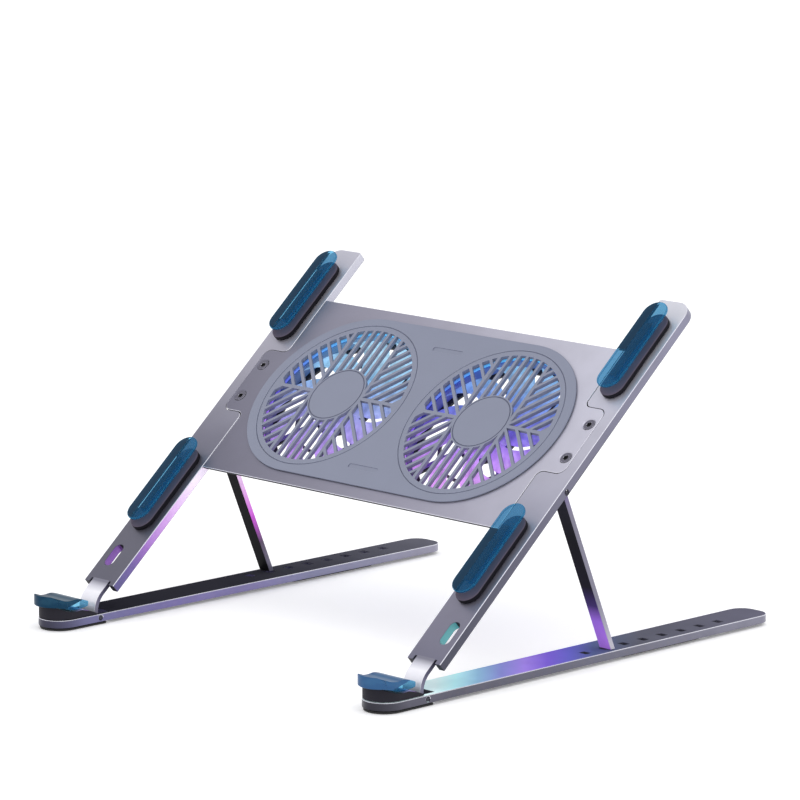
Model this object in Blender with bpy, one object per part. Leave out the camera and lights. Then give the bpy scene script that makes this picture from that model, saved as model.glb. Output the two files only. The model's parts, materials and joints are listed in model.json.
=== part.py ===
"""Folding laptop cooling stand: two tilted rails on folding base bars, held up by struts, with a
plate between the rails that carries two 83 mm fans behind a moulded grille.

The base bars lie along +Y and the rails rise towards +Y. All sizes are in millimetres and MM turns
them to metres. Each piece is made in the frame of the body that it belongs to: the stand's own
frame, a bar's frame with its origin on the bar's hinge, a strut's with its origin on the strut's
hinge, or the platform's, where x runs across, y up the slope and z out of the rails' top faces.
"""

import math

import bmesh
import bpy
from mathutils import Vector

MM = 0.001
GAP = 0.3  # clearance between neighbouring pieces

# Base bars, in the stand's frame: y = 0 at the hinge between bar and rail.
BAR_INNER = 101.8
BAR_OUTER = 122.3
BAR_FRONT = -27.4
BAR_LENGTH = 260.0
BAR_THICK = 3.8
FOOT_THICK = 1.4
BAR_MID = (BAR_INNER + BAR_OUTER) / 2
BAR_HALF = (BAR_OUTER - BAR_INNER) / 2
BAR_REAR = BAR_FRONT + BAR_LENGTH
HINGE_Z = FOOT_THICK + BAR_THICK / 2
SLOT_X = 115.0
SLOT_FIRST_Y = 109.2
SLOT_PITCH = 13.1
SLOT_COUNT = 8
STRUT_SLOT = 1

# Front stop on each bar, heights above the bar's top face.
STOP_HEIGHT = 6.2
CUSHION_RISE = 5.6
CUSHION_OVERHANG = 2.6

# Platform: its slope, and the lower end of the rails' top faces.
TILT = math.radians(41.1)
RAIL_Y = 7.3
RAIL_Z = 17.8
RAIL_LENGTH = 220.0
RAIL_INNER = 101.3
RAIL_OUTER = 122.3
RAIL_THICK = 4.5
RAIL_MID = (RAIL_INNER + RAIL_OUTER) / 2
NECK_HALF = 5.75
NECK_THICK = 2.4
NECK_STRAIGHT = 4.5
NECK_BEND = 12.8
KNUCKLE = 1.75
PIN = 1.0

# Struts: hinge on the rail, given up the slope and below the top face.
STRUT_S = 105.5
STRUT_H = -3.0
STRUT_INNER = 113.3
STRUT_OUTER = 120.7
STRUT_THICK = 2.6
CHANNEL_DEPTH = 3.3

# Cross plate and the grille panel in its stadium hole.
PLATE_THICK = 1.5
PLATE_LOW = 77.1
PLATE_HIGH = 187.5
PLATE_HALF = 100.95
FAN_S = 132.6
FAN_X = 49.4
FAN_OPENING = 41.5
HUB_DISC = 16.3
PANEL_END_X = 50.6
PANEL_RADIUS = 48.9
PANEL_PROUD = 1.1
TAB_REACH = 115.7
TAB_HALF = 19.7
SCREW_X = 111.0
SCREW_OFFSET = 10.2

# Fan module below the plate, heights from the rails' top face.
TRAY_RADIUS = 48.0
TRAY_WALL = 1.4
TRAY_TOP = -PLATE_THICK - GAP
TRAY_FLOOR_TOP = -9.3
TRAY_BOTTOM = -10.6
FRAME_OUTER = 44.6
FRAME_INNER = 42.0
ROTOR_RADIUS = 40.4
SPINDLE_H = -5.6
BLADES = 9

# Rubber pads on the rails.
PAD_MID = 111.8
PAD_WIDTH = 13.6
PAD_LENGTH = 51.0
PAD_HEIGHT = 3.0
PAD_STARTS = {"lower": 33.5, "upper": 158.5}
CUSHION_TOP = 7.8
CUSHION_SHEET = 1.3
CUSHION_SHIFT = 1.3
CUSHION_EXTRA = 2.0

STAND_SHIFT_Y = -(BAR_FRONT - CUSHION_OVERHANG + BAR_REAR) / 2
SIDES = {"left": -1, "right": 1}


# ---------------------------------------------------------------- outlines


def arc(cx, cy, radius, start, end, steps):
    """Points on a circle from one angle to another in degrees, both ends included."""
    angles = [math.radians(start + (end - start) * i / steps) for i in range(steps + 1)]
    return [(cx + radius * math.cos(a), cy + radius * math.sin(a)) for a in angles]


def circle(cx, cy, radius, steps):
    return arc(cx, cy, radius, 0, 360, steps)[:-1]


def box_outline(x0, x1, y0, y1):
    return [(x0, y0), (x1, y0), (x1, y1), (x0, y1)]


def rounded_box(x0, x1, y0, y1, radius, steps=3):
    corners = ((x1 - radius, y1 - radius, 0), (x0 + radius, y1 - radius, 90))
    corners += ((x0 + radius, y0 + radius, 180), (x1 - radius, y0 + radius, 270))
    return [p for cx, cy, a in corners for p in arc(cx, cy, radius, a, a + 90, steps)]


def wide_stadium(half_straight, y, radius, steps):
    """A stadium whose straight sides run along x."""
    right = arc(half_straight, y, radius, -90, 90, steps)
    return right + arc(-half_straight, y, radius, 90, 270, steps)


def long_stadium(x, y0, y1, width, steps):
    """A stadium whose straight sides run along y."""
    r = width / 2
    return arc(x, y1 - r, r, 0, 180, steps) + arc(x, y0 + r, r, 180, 360, steps)


def across(outline, side):
    """The outline as it is on the right, or mirrored for the left."""
    return [(side * x, y) for x, y in outline]


def clipped(outline, nx, ny, least):
    """The part of a convex outline where nx * x + ny * y is at least this much."""
    kept = []
    for (ax, ay), (bx, by) in zip(outline, outline[1:] + outline[:1]):
        a = nx * ax + ny * ay - least
        b = nx * bx + ny * by - least
        if a >= 0:
            kept.append((ax, ay))
        if (a < 0) != (b < 0):
            t = a / (a - b)
            kept.append((ax + t * (bx - ax), ay + t * (by - ay)))
    return kept


def area(outline):
    pairs = zip(outline, outline[1:] + outline[:1])
    return abs(sum(ax * by - bx * ay for (ax, ay), (bx, by) in pairs)) / 2


# ---------------------------------------------------------------- pieces


def material(name, colour, roughness, metallic=0.0, transmission=0.0):
    made = bpy.data.materials.new(name)
    made.use_nodes = True
    shader = made.node_tree.nodes["Principled BSDF"]
    shader.inputs["Base Color"].default_value = (*colour, 1.0)
    shader.inputs["Roughness"].default_value = roughness
    shader.inputs["Metallic"].default_value = metallic
    shader.inputs["Transmission Weight"].default_value = transmission
    return made


def prism(outline, low, high, plane="xy"):
    """A closed bmesh: the outline swept along z, or along x when it lies in the yz plane."""
    bm = bmesh.new()
    if plane == "xy":
        corners = [Vector((x, y, low)) * MM for x, y in outline]
        sweep = Vector((0, 0, high - low)) * MM
    else:
        corners = [Vector((low, y, z)) * MM for y, z in outline]
        sweep = Vector((high - low, 0, 0)) * MM
    face = bm.faces.new([bm.verts.new(corner) for corner in corners])
    swept = bmesh.ops.extrude_face_region(bm, geom=[face])["geom"]
    moved = [item for item in swept if isinstance(item, bmesh.types.BMVert)]
    bmesh.ops.translate(bm, verts=moved, vec=sweep)
    bmesh.ops.recalc_face_normals(bm, faces=bm.faces)
    return bm


def turned(profile, steps, x=0.0, y=0.0):
    """A closed bmesh turned about the z axis through (x, y) from a ring or disc profile (r, z)."""
    bm = bmesh.new()
    rings = []
    for r, z in profile:
        count = 1 if r == 0 else steps
        points = [Vector((x + r * math.cos(a), y + r * math.sin(a), z)) * MM
                  for a in (2 * math.pi * i / steps for i in range(count))]
        rings.append([bm.verts.new(p) for p in points])
    for lower, upper in zip(rings, rings[1:] + rings[:1]):
        if len(lower) == len(upper) == 1:
            continue
        for i in range(steps):
            j = (i + 1) % steps
            corners = [lower[i % len(lower)], lower[j % len(lower)]]
            corners += [upper[j % len(upper)], upper[i % len(upper)]]
            bm.faces.new(list(dict.fromkeys(corners)))
    bmesh.ops.recalc_face_normals(bm, faces=bm.faces)
    return bm


def joined(parts):
    """One bmesh that holds several separate closed shapes."""
    whole = bmesh.new()
    for part in parts:
        mesh = bpy.data.meshes.new("part")
        part.to_mesh(mesh)
        part.free()
        whole.from_mesh(mesh)
        bpy.data.meshes.remove(mesh)
    return whole


def place(name, bm, parent, finish=None):
    mesh = bpy.data.meshes.new(name)
    bm.to_mesh(mesh)
    bm.free()
    mesh.shade_smooth()
    mesh.set_sharp_from_angle(angle=math.radians(35))
    if finish:
        mesh.materials.append(finish)
    made = bpy.data.objects.new(name, mesh)
    bpy.context.scene.collection.objects.link(made)
    made.parent = parent
    return made


def combine(target, operation, bm):
    """A Boolean on the target with a shape that is given in the target's own frame."""
    tool = place(f"{target.name}_{operation.lower()}_{len(target.modifiers)}", bm, target)
    tool.hide_render = True
    tool.display_type = "WIRE"
    step = target.modifiers.new(operation.title(), "BOOLEAN")
    step.operation = operation
    step.solver = "EXACT"
    step.object = tool


def cut(target, bm):
    combine(target, "DIFFERENCE", bm)


def fuse(target, bm):
    combine(target, "UNION", bm)


def soften(target, width, segments=1, angle=50.0):
    """Rounds the edges that are sharper than the angle."""
    step = target.modifiers.new("Bevel", "BEVEL")
    step.width = width * MM
    step.segments = segments
    step.limit_method = "ANGLE"
    step.angle_limit = math.radians(angle)


def frame(name, location, turn_x=0.0, parent=None):
    made = bpy.data.objects.new(name, None)
    made.location = Vector(location) * MM
    made.rotation_euler = (turn_x, 0, 0)
    made.parent = parent
    bpy.context.scene.collection.objects.link(made)
    return made


# ---------------------------------------------------------------- base bars


def bar_outline():
    """The right bar seen from above: a round front end and a rear end with rounded corners."""
    front = arc(BAR_MID, BAR_FRONT + BAR_HALF, BAR_HALF, 180, 360, 12)
    corner = 8.0
    rear = arc(BAR_OUTER - corner, BAR_REAR - corner, corner, 0, 90, 4)
    rear += arc(BAR_INNER + corner, BAR_REAR - corner, corner, 90, 180, 4)
    return front + rear


def base_bar(name, side, hinge, metal):
    half = BAR_THICK / 2
    bar = place(name, prism(across(bar_outline(), side), -half, half), hinge, metal)
    soften(bar, 0.4)
    window = box_outline(RAIL_MID - 7.7, RAIL_MID + 7.7, -4.2, 7.3)
    cut(bar, prism(across(window, side), -half - 1, half + 1))
    slots = []
    for i in range(SLOT_COUNT):
        y = SLOT_FIRST_Y + SLOT_PITCH * i
        outline = box_outline(SLOT_X - 2.5, SLOT_X + 2.5, y - 2.0, y + 2.0)
        slots.append(prism(across(outline, side), -half - 1, half + 1))
    cut(bar, joined(slots))
    bore = circle(0, 0, PIN + GAP, 12)
    ends = sorted((side * (BAR_INNER - 1), side * (BAR_OUTER + 1)))
    cut(bar, prism(bore, *ends, "yz"))


def base_pin(name, side, hinge, steel):
    ends = sorted((side * (BAR_INNER + 0.2), side * (BAR_OUTER - 0.2)))
    place(name, prism(circle(0, 0, PIN, 12), *ends, "yz"), hinge, steel)


def stop_wave(rise, shift):
    """The wavy top of the stop from its rear end to its front lip, as (y, height) points."""
    crests = [(-5.0, 2.0), (-8.7, 3.3), (-12.0, 4.0), (-15.5, 3.7), (-19.0, 4.0)]
    crests += [(-22.5, 5.2), (-25.0, STOP_HEIGHT)]
    return [(y + shift, z + rise) for y, z in crests]


def stop_plan(front, rear, inset, side):
    """The stop's outline from above: the bar's round front end, carried back to the neck."""
    half = BAR_HALF - inset
    outline = arc(BAR_MID, front + half, half, 180, 360, 12)
    return across(outline + [(BAR_MID + half, rear), (BAR_MID - half, rear)], side)


def shaped_stop(name, side, hinge, finish, plan, profile):
    """The plan's outline raised high, kept only where it lies inside the side profile."""
    top = BAR_THICK / 2
    block = place(name, prism(plan, top - 1, top + 20), hinge, finish)
    x0, x1 = sorted((side * (BAR_INNER - 3), side * (BAR_OUTER + 3)))
    raised = [(y, z + top) for y, z in profile]
    combine(block, "INTERSECT", prism(raised, x0, x1, "yz"))


def front_stop(name, side, hinge, rubber):
    plan = stop_plan(BAR_FRONT + 0.2, -2.2, 0.2, side)
    profile = [(-30.0, GAP), (-2.0, GAP), (-2.0, 0.8)]
    profile += stop_wave(0, 0) + [(-30.0, STOP_HEIGHT)]
    shaped_stop(name, side, hinge, rubber, plan, profile)


def stop_cushion(name, side, hinge, silicone):
    shift = -CUSHION_OVERHANG
    plan = stop_plan(BAR_FRONT + shift, -7.4, 0.0, side)
    below = [(-25.5, STOP_HEIGHT + GAP), (-22.2, 5.8), (-18.6, 4.7), (-12.0, 4.6), (-7.8, 5.2)]
    profile = [(-34.0, STOP_HEIGHT + GAP)] + below + stop_wave(CUSHION_RISE, shift)
    profile += [(-34.0, STOP_HEIGHT + CUSHION_RISE + 0.2)]
    shaped_stop(name, side, hinge, silicone, plan, profile)


def bar_feet(side_name, side, hinge, rubber):
    low = -BAR_THICK / 2 - FOOT_THICK
    high = -BAR_THICK / 2 - GAP
    half = BAR_HALF - 0.6
    front = arc(BAR_MID, BAR_FRONT + 0.6 + half, half, 180, 360, 10)
    front += [(BAR_MID + half, 4.0), (BAR_MID - half, 4.0)]
    rear = rounded_box(BAR_MID - 7.0, BAR_MID + 7.0, 128.0, 186.0, 4.0)
    for name, outline in (("front_foot", front), ("rear_foot", rear)):
        place(f"{name}_{side_name}", prism(across(outline, side), low, high), hinge, rubber)


# ---------------------------------------------------------------- rails


def hinge_on_slope():
    """Where the bar's hinge axis is in the platform's frame."""
    back, up = -RAIL_Y, HINGE_Z - RAIL_Z
    return (back * math.cos(TILT) + up * math.sin(TILT),
            up * math.cos(TILT) - back * math.sin(TILT))


def neck_profile():
    """The curved tongue from the rail's lower end down to the knuckle round the hinge pin."""
    turn = 90 - math.degrees(TILT)
    centre = (-NECK_STRAIGHT, -NECK_BEND)
    outside = arc(*centre, NECK_BEND, 90, 90 + turn, 8)
    inside = arc(*centre, NECK_BEND - NECK_THICK, 90 + turn, 90, 8)
    pin_y, pin_z = hinge_on_slope()
    knuckle = arc(pin_y, pin_z, KNUCKLE, 90 + turn, 90 + turn + 180, 8)
    return [(3.0, 0.0)] + outside + knuckle + inside + [(3.0, -NECK_THICK)]


def rail_outline():
    """The right rail: notched lower corners beside the neck, the outer top corner rounded."""
    notch = 1.3
    depth = 2.2
    neck_in, neck_out = RAIL_MID - NECK_HALF, RAIL_MID + NECK_HALF
    lower = [(RAIL_INNER, 0), (neck_in - notch, 0), (neck_in - notch, depth), (neck_in, depth)]
    lower += [(neck_out, depth), (neck_out + notch, depth), (neck_out + notch, 0)]
    corner = 8.0
    lower += [(RAIL_OUTER, 0)]
    upper = arc(RAIL_OUTER - corner, RAIL_LENGTH - corner, corner, 0, 90, 5)
    return lower + upper + [(RAIL_INNER + 1.0, RAIL_LENGTH), (RAIL_INNER, RAIL_LENGTH - 1.0)]


def tab_outline(grow, outer_grow):
    """The plate's tab on the right: a fillet out of the plate's side, then a rounded end."""
    root, corner = 3.6, 4.4
    half = TAB_HALF + grow
    reach = TAB_REACH + outer_grow
    waist = PLATE_HALF + grow
    up = arc(reach - corner, FAN_S + half - corner, corner, 0, 90, 4)
    up += arc(waist + root, FAN_S + half + root, root, 270, 180, 4)
    down = [(x, 2 * FAN_S - y) for x, y in reversed(up)]
    return down + up


def rail(name, side, platform, metal):
    body = place(name, prism(across(rail_outline(), side), -RAIL_THICK, 0), platform, metal)
    soften(body, 0.45)
    ends = sorted((side * (RAIL_MID - NECK_HALF), side * (RAIL_MID + NECK_HALF)))
    fuse(body, prism(neck_profile(), *ends, "yz"))
    bore = circle(*hinge_on_slope(), PIN + GAP, 12)
    cut(body, prism(bore, ends[0] - 1, ends[1] + 1, "yz"))
    slot = long_stadium(115.4, 10.7, 23.8, 6.0, 6)
    cut(body, prism(across(slot, side), -RAIL_THICK - 1, 1))
    pocket = tab_outline(0.35, 0.12)
    pocket += [(90.0, FAN_S + TAB_HALF + 4), (90.0, FAN_S - TAB_HALF - 4)]
    cut(body, prism(across(pocket, side), -PLATE_THICK - GAP, 1))
    channel = box_outline(STRUT_INNER - GAP, STRUT_OUTER + GAP, STRUT_S - 9.0, STRUT_S + 92.0)
    low, high = -RAIL_THICK - 1, -RAIL_THICK + CHANNEL_DEPTH
    cut(body, prism(across(channel, side), low, high))
    pin_ends = sorted((side * (STRUT_INNER - 4), side * (RAIL_OUTER + 1)))
    cut(body, prism(circle(STRUT_S, STRUT_H, PIN + GAP, 12), *pin_ends, "yz"))
    shanks = [turned([(0, -6), (1.8, -6), (1.8, 1), (0, 1)], 12, side * SCREW_X, y)
              for y in (FAN_S - SCREW_OFFSET, FAN_S + SCREW_OFFSET)]
    cut(body, joined(shanks))


def rail_pads(side_name, side, platform, rubber, silicone):
    """A dark base with a groove, and a T-section cushion whose stem stands in the groove."""
    for level, start in PAD_STARTS.items():
        end = start + PAD_LENGTH
        outline = long_stadium(PAD_MID, start, end, PAD_WIDTH, 8)
        base = prism(across(outline, side), GAP, PAD_HEIGHT)
        pad = place(f"rail_pad_{level}_{side_name}", base, platform, rubber)
        soften(pad, 0.5)
        groove = box_outline(PAD_MID - 2.3, PAD_MID + 2.3, start + 9.0, end - 9.0)
        cut(pad, prism(across(groove, side), PAD_HEIGHT - 1.4, PAD_HEIGHT + 1))
        lower_end, upper_end = start + CUSHION_SHIFT, end + CUSHION_SHIFT + CUSHION_EXTRA
        sheet = long_stadium(PAD_MID, lower_end, upper_end, PAD_WIDTH, 8)
        top = prism(across(sheet, side), CUSHION_TOP - CUSHION_SHEET, CUSHION_TOP)
        cushion = place(f"rail_cushion_{level}_{side_name}", top, platform, silicone)
        stem = box_outline(PAD_MID - 2.0, PAD_MID + 2.0, start + 9.3, end - 9.3)
        low, high = PAD_HEIGHT - 1.4 + GAP, CUSHION_TOP - CUSHION_SHEET / 2
        fuse(cushion, prism(across(stem, side), low, high))


# ---------------------------------------------------------------- struts


def strut_line():
    """The strut's hinge in the stand's frame, its length and its angle above +Y at rest."""
    y = RAIL_Y + STRUT_S * math.cos(TILT) - STRUT_H * math.sin(TILT)
    z = RAIL_Z + STRUT_S * math.sin(TILT) + STRUT_H * math.cos(TILT)
    foot_y = SLOT_FIRST_Y + SLOT_PITCH * STRUT_SLOT
    foot_z = FOOT_THICK + BAR_THICK
    angle = math.atan2(foot_z - z, foot_y - y)
    return y, z, math.hypot(foot_y - y, foot_z - z), angle


def strut(name, side, hinge, metal):
    """A flat bar with a round eye at the hinge and a foot cut to stand level on the bar."""
    _, _, length, angle = strut_line()
    half = STRUT_THICK / 2
    eye = arc(0, 0, half, 90, 270, 6)
    lean = math.tan(math.pi / 2 + angle)
    clear = GAP / math.cos(math.pi / 2 + angle)
    foot = [(length - clear - half * lean, -half), (length - clear + half * lean, half)]
    body = place(name, prism(eye + foot, side * STRUT_INNER, side * STRUT_OUTER, "yz"),
                 hinge, metal)
    bore = circle(0, 0, PIN + 0.1, 12)
    ends = sorted((side * (STRUT_INNER - 1), side * (STRUT_OUTER + 1)))
    cut(body, prism(bore, *ends, "yz"))
    relief = rounded_box(116.0, 118.0, 16.0, length - 14.0, 0.9, 2)
    cut(body, prism(across(relief, side), half - 0.6, half + 1))


def strut_pin(name, side, platform, steel):
    ends = sorted((side * (STRUT_INNER - 3.5), side * (RAIL_OUTER - 0.2)))
    outline = circle(STRUT_S, STRUT_H, PIN - 0.2, 12)
    place(name, prism(outline, *ends, "yz"), platform, steel)


# ---------------------------------------------------------------- cross plate and grille


def cross_plate(platform, metal):
    outline = [(PLATE_HALF, PLATE_LOW)] + tab_outline(0, 0) + [(PLATE_HALF, PLATE_HIGH)]
    outline += [(-x, y) for x, y in reversed(outline)]
    plate = place("cross_plate", prism(outline, -PLATE_THICK, 0), platform, metal)
    hole = wide_stadium(PANEL_END_X, FAN_S, PANEL_RADIUS - 1.4, 24)
    cut(plate, prism(hole, -PLATE_THICK - 1, 1))
    seat = [(0, -3), (1.9, -3), (1.9, -1.4), (3.75, 0.05), (3.75, 1), (0, 1)]
    places = [(side * SCREW_X, FAN_S + up * SCREW_OFFSET) for side in (-1, 1) for up in (-1, 1)]
    cut(plate, joined([turned(seat, 20, x, y) for x, y in places]))


def plate_screws(platform, steel):
    """Countersunk socket screws: two through each tab of the plate into its rail."""
    profile = [(0, -4.3), (1.5, -4.3), (1.5, -1.38), (3.0, -0.2), (0, -0.2)]
    for side_name, side in SIDES.items():
        for level, up in (("lower", -1), ("upper", 1)):
            x, y = side * SCREW_X, FAN_S + up * SCREW_OFFSET
            screw = place(f"plate_screw_{level}_{side_name}", turned(profile, 20, x, y),
                          platform, steel)
            cut(screw, prism(circle(x, y, 1.45, 6), -1.2, 1))


def grille_openings(sign):
    """The slots of one fan's grille: six bars up the hub band, and four sectors of slanted bars."""
    rib, bar, pitch = 1.8, 1.5, 5.4
    ring = circle(0, 0, FAN_OPENING, 72)
    openings = []
    columns = 6
    width = (2 * HUB_DISC - rib) / columns
    for i in range(columns):
        u0 = -HUB_DISC + rib / 2 + i * width + (bar / 2 if i else 0)
        u1 = -HUB_DISC + rib / 2 + (i + 1) * width - (bar / 2 if i < columns - 1 else 0)
        steps = [u0 + (u1 - u0) * k / 3 for k in range(4)]
        outer = [(u, math.sqrt(FAN_OPENING**2 - u**2)) for u in steps]
        inner = [(u, math.sqrt(HUB_DISC**2 - u**2)) for u in reversed(steps)]
        openings += [outer + inner, [(u, -v) for u, v in outer + inner]]
    for du, dv in ((1, 1), (-1, 1), (-1, -1), (1, -1)):
        sector = clipped(ring, du, 0, HUB_DISC + rib / 2)
        sector = clipped(sector, 0, dv, rib / 2)
        nu, nv = -dv * math.sqrt(0.5), du * math.sqrt(0.5)
        for k in range(-6, 7):
            middle = (k + 0.5) * pitch
            slot = clipped(sector, nu, nv, middle - (pitch - bar) / 2)
            slot = clipped(slot, -nu, -nv, -middle - (pitch - bar) / 2) if slot else slot
            if len(slot) > 2 and area(slot) > 2.5:
                openings.append(slot)
    return [[(u + sign * FAN_X, v + FAN_S) for u, v in outline] for outline in openings]


def grille_panel(platform, plastic):
    top, under = PANEL_PROUD, -1.6
    rim = prism(wide_stadium(PANEL_END_X, FAN_S, PANEL_RADIUS, 24), GAP, top)
    panel = place("grille_panel", rim, platform, plastic)
    soften(panel, 0.5)
    plug = wide_stadium(PANEL_END_X, FAN_S, PANEL_RADIUS - 1.7, 24)
    fuse(panel, prism(plug, under, GAP + 0.2))
    posts = [turned([(0, -8.6), (2.6, -8.6), (2.6, under + 0.4), (0, under + 0.4)], 10, x, y)
             for x, y in cover_screw_places()]
    fuse(panel, joined(posts))
    for sign in (-1, 1):
        x = sign * FAN_X
        well = [(0, -4), (FAN_OPENING + 0.6, -4), (FAN_OPENING + 0.6, -0.8), (0, -0.8)]
        cut(panel, turned(well, 40, x, FAN_S))
        groove = [(44.1, top - 0.35), (44.7, top - 0.35), (44.7, top + 1), (44.1, top + 1)]
        cut(panel, turned(groove, 48, x, FAN_S))
        cut(panel, joined([prism(slot, -3, top + 1) for slot in grille_openings(sign)]))
    marks = [rounded_box(-10.5, 9.5, y - 1.3, y + 1.3, 1.2, 2) for y in (94.0, 169.0)]
    cut(panel, joined([prism(mark, top - 0.35, top + 1) for mark in marks]))
    cut(panel, joined([prism(circle(x, y, 0.8, 8), -12, -3.5) for x, y in cover_screw_places()]))


# ---------------------------------------------------------------- fan module


def cover_screw_places():
    return [(x, y) for x in (-10.0, 10.0) for y in (FAN_S - 41.0, FAN_S + 26.0)]


def rear_cover(platform, plastic):
    """A shallow stadium tray with a guard of spokes and a ring below each fan."""
    outer = wide_stadium(PANEL_END_X, FAN_S, TRAY_RADIUS, 24)
    tray = place("rear_cover", prism(outer, TRAY_BOTTOM, TRAY_TOP), platform, plastic)
    soften(tray, 0.8)
    inner = wide_stadium(PANEL_END_X, FAN_S, TRAY_RADIUS - TRAY_WALL, 24)
    cut(tray, prism(inner, TRAY_FLOOR_TOP, TRAY_TOP + 5))
    low, high = TRAY_BOTTOM - 1, TRAY_FLOOR_TOP + 1
    openings = []
    for x in (-FAN_X, FAN_X):
        for r0, r1 in ((17.0, 27.5), (29.0, 39.5)):
            for k in range(4):
                half0, half1 = (math.degrees(math.asin(1.2 / r)) for r in (r0, r1))
                start, end = 45 + 90 * k, 135 + 90 * k
                outline = arc(x, FAN_S, r1, start + half1, end - half1, 7)
                outline += arc(x, FAN_S, r0, end - half0, start + half0, 5)
                openings.append(prism(outline, low, high))
    cut(tray, joined(openings))
    cut(tray, joined([prism(circle(x, y, 1.3, 8), low, high) for x, y in cover_screw_places()]))
    mouth = rounded_box(-5.0, 5.0, -8.4, -4.4, 1.8, 3)
    rear = FAN_S + TRAY_RADIUS
    cut(tray, swept_up_slope(mouth, rear - 8, rear + 12))


def swept_up_slope(outline, start, end):
    """A closed bmesh: an outline in the xz plane swept along y."""
    bm = prism(outline, start, end)
    for vert in bm.verts:
        vert.co = Vector((vert.co.x, vert.co.z, vert.co.y))
    bmesh.ops.recalc_face_normals(bm, faces=bm.faces)
    return bm


def cover_screws(platform, steel):
    profile = [(0, -12.1), (2.3, -12.1), (2.3, -10.9), (1.0, -10.9), (1.0, -9.0), (0, -9.0)]
    for i, (x, y) in enumerate(cover_screw_places(), 1):
        screw = place(f"cover_screw_{i}", turned(profile, 12, x, y), platform, steel)
        cut(screw, prism(rounded_box(x - 1.3, x + 1.3, y - 0.3, y + 0.3, 0.1, 1), -13, -11.6))


def fan_frame(name, x, platform, plastic):
    ring = [(FRAME_INNER, -8.9), (FRAME_OUTER, -8.9), (FRAME_OUTER, -3.7), (FRAME_INNER, -3.7)]
    body = place(name, turned(ring, 36, x, FAN_S), platform, plastic)
    low, high = -8.9, -8.0
    fuse(body, prism(circle(x, FAN_S, 15.2, 24), low, high))
    arms = []
    for k in range(4):
        a = math.radians(45 + 90 * k)
        across_arm = Vector((-math.sin(a), math.cos(a))) * 1.1
        along = Vector((math.cos(a), math.sin(a)))
        centre = Vector((x, FAN_S))
        near, far = centre + along * 13, centre + along * (FRAME_INNER + 1)
        corners = [near + across_arm, near - across_arm, far - across_arm, far + across_arm]
        arms.append(prism([tuple(corner) for corner in corners], low + 0.1, high - 0.1))
    fuse(body, joined(arms))


def fan_motor(name, x, platform, copper):
    profile = [(2.2, -7.7), (11.0, -7.7), (11.0, -5.6), (2.2, -5.6)]
    place(name, turned(profile, 20, x, FAN_S), platform, copper)


def led_ring(name, x, platform, diffuser):
    profile = [(42.2, -3.3), (44.4, -3.3), (44.4, -1.9), (42.2, -1.9)]
    place(name, turned(profile, 36, x, FAN_S), platform, diffuser)


def blade(index):
    """A swept blade from inside the hub to the tip, its pitch easing outwards."""
    bm = bmesh.new()
    span, chord, thick = 4, 4, 0.7
    sides = ([], [])
    for i in range(span):
        t = i / (span - 1)
        r = 14.9 + t * (ROTOR_RADIUS - 14.9)
        half = math.radians(15.0 - 1.5 * t)
        middle = 2 * math.pi * index / BLADES + math.radians(26.0) * t * t
        rise = 1.7 - 0.4 * t
        for j in range(chord):
            c = 2 * j / (chord - 1) - 1
            a = middle + half * c
            z = rise * c * (0.75 + 0.25 * abs(c))
            for rows, lift in zip(sides, (-thick / 2, thick / 2)):
                rows.append(Vector((r * math.cos(a), r * math.sin(a), z + lift)) * MM)
    low, high = ([bm.verts.new(p) for p in rows] for rows in sides)

    def at(i, j):
        """The place of a point in each of the two rows of points."""
        return i * chord + j

    for i in range(span - 1):
        for j in range(chord - 1):
            quad = [at(i, j), at(i + 1, j), at(i + 1, j + 1), at(i, j + 1)]
            bm.faces.new([low[k] for k in quad])
            bm.faces.new([high[k] for k in reversed(quad)])
    rim = [at(i, 0) for i in range(span)] + [at(span - 1, j) for j in range(1, chord)]
    rim += [at(i, chord - 1) for i in reversed(range(span - 1))]
    rim += [at(0, j) for j in reversed(range(1, chord - 1))]
    for a, b in zip(rim, rim[1:] + rim[:1]):
        bm.faces.new([low[a], low[b], high[b], high[a]])
    bmesh.ops.recalc_face_normals(bm, faces=bm.faces)
    return bm


def fan_rotor(name, spindle, plastic):
    """A hub cup with its shaft, open below, and the blades; its origin is on the fan's axis."""
    hub = [(0, 2.5), (14.6, 2.5), (15.6, 1.7), (15.6, -1.9), (14.4, -1.9), (14.4, 1.3)]
    hub += [(1.7, 1.3), (1.7, -1.6), (0, -1.6)]
    body = place(name, turned(hub, 28), spindle, plastic)
    fuse(body, joined([blade(i) for i in range(BLADES)]))


def control_board(platform, laminate):
    outline = box_outline(-16.0, 16.0, 165.0, 175.8)
    place("control_board", prism(outline, -8.9, -7.8), platform, laminate)


def power_socket(platform, steel):
    """A USB-C receptacle on the board, its mouth in the rear cover's rear wall."""
    shell = swept_up_slope(rounded_box(-4.5, 4.5, -7.4, -4.9, 1.2, 3), 172.4, 180.0)
    socket = place("power_socket", shell, platform, steel)
    cut(socket, swept_up_slope(rounded_box(-4.1, 4.1, -7.1, -5.2, 0.9, 3), 174.6, 182.0))


# ---------------------------------------------------------------- the whole stand


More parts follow.
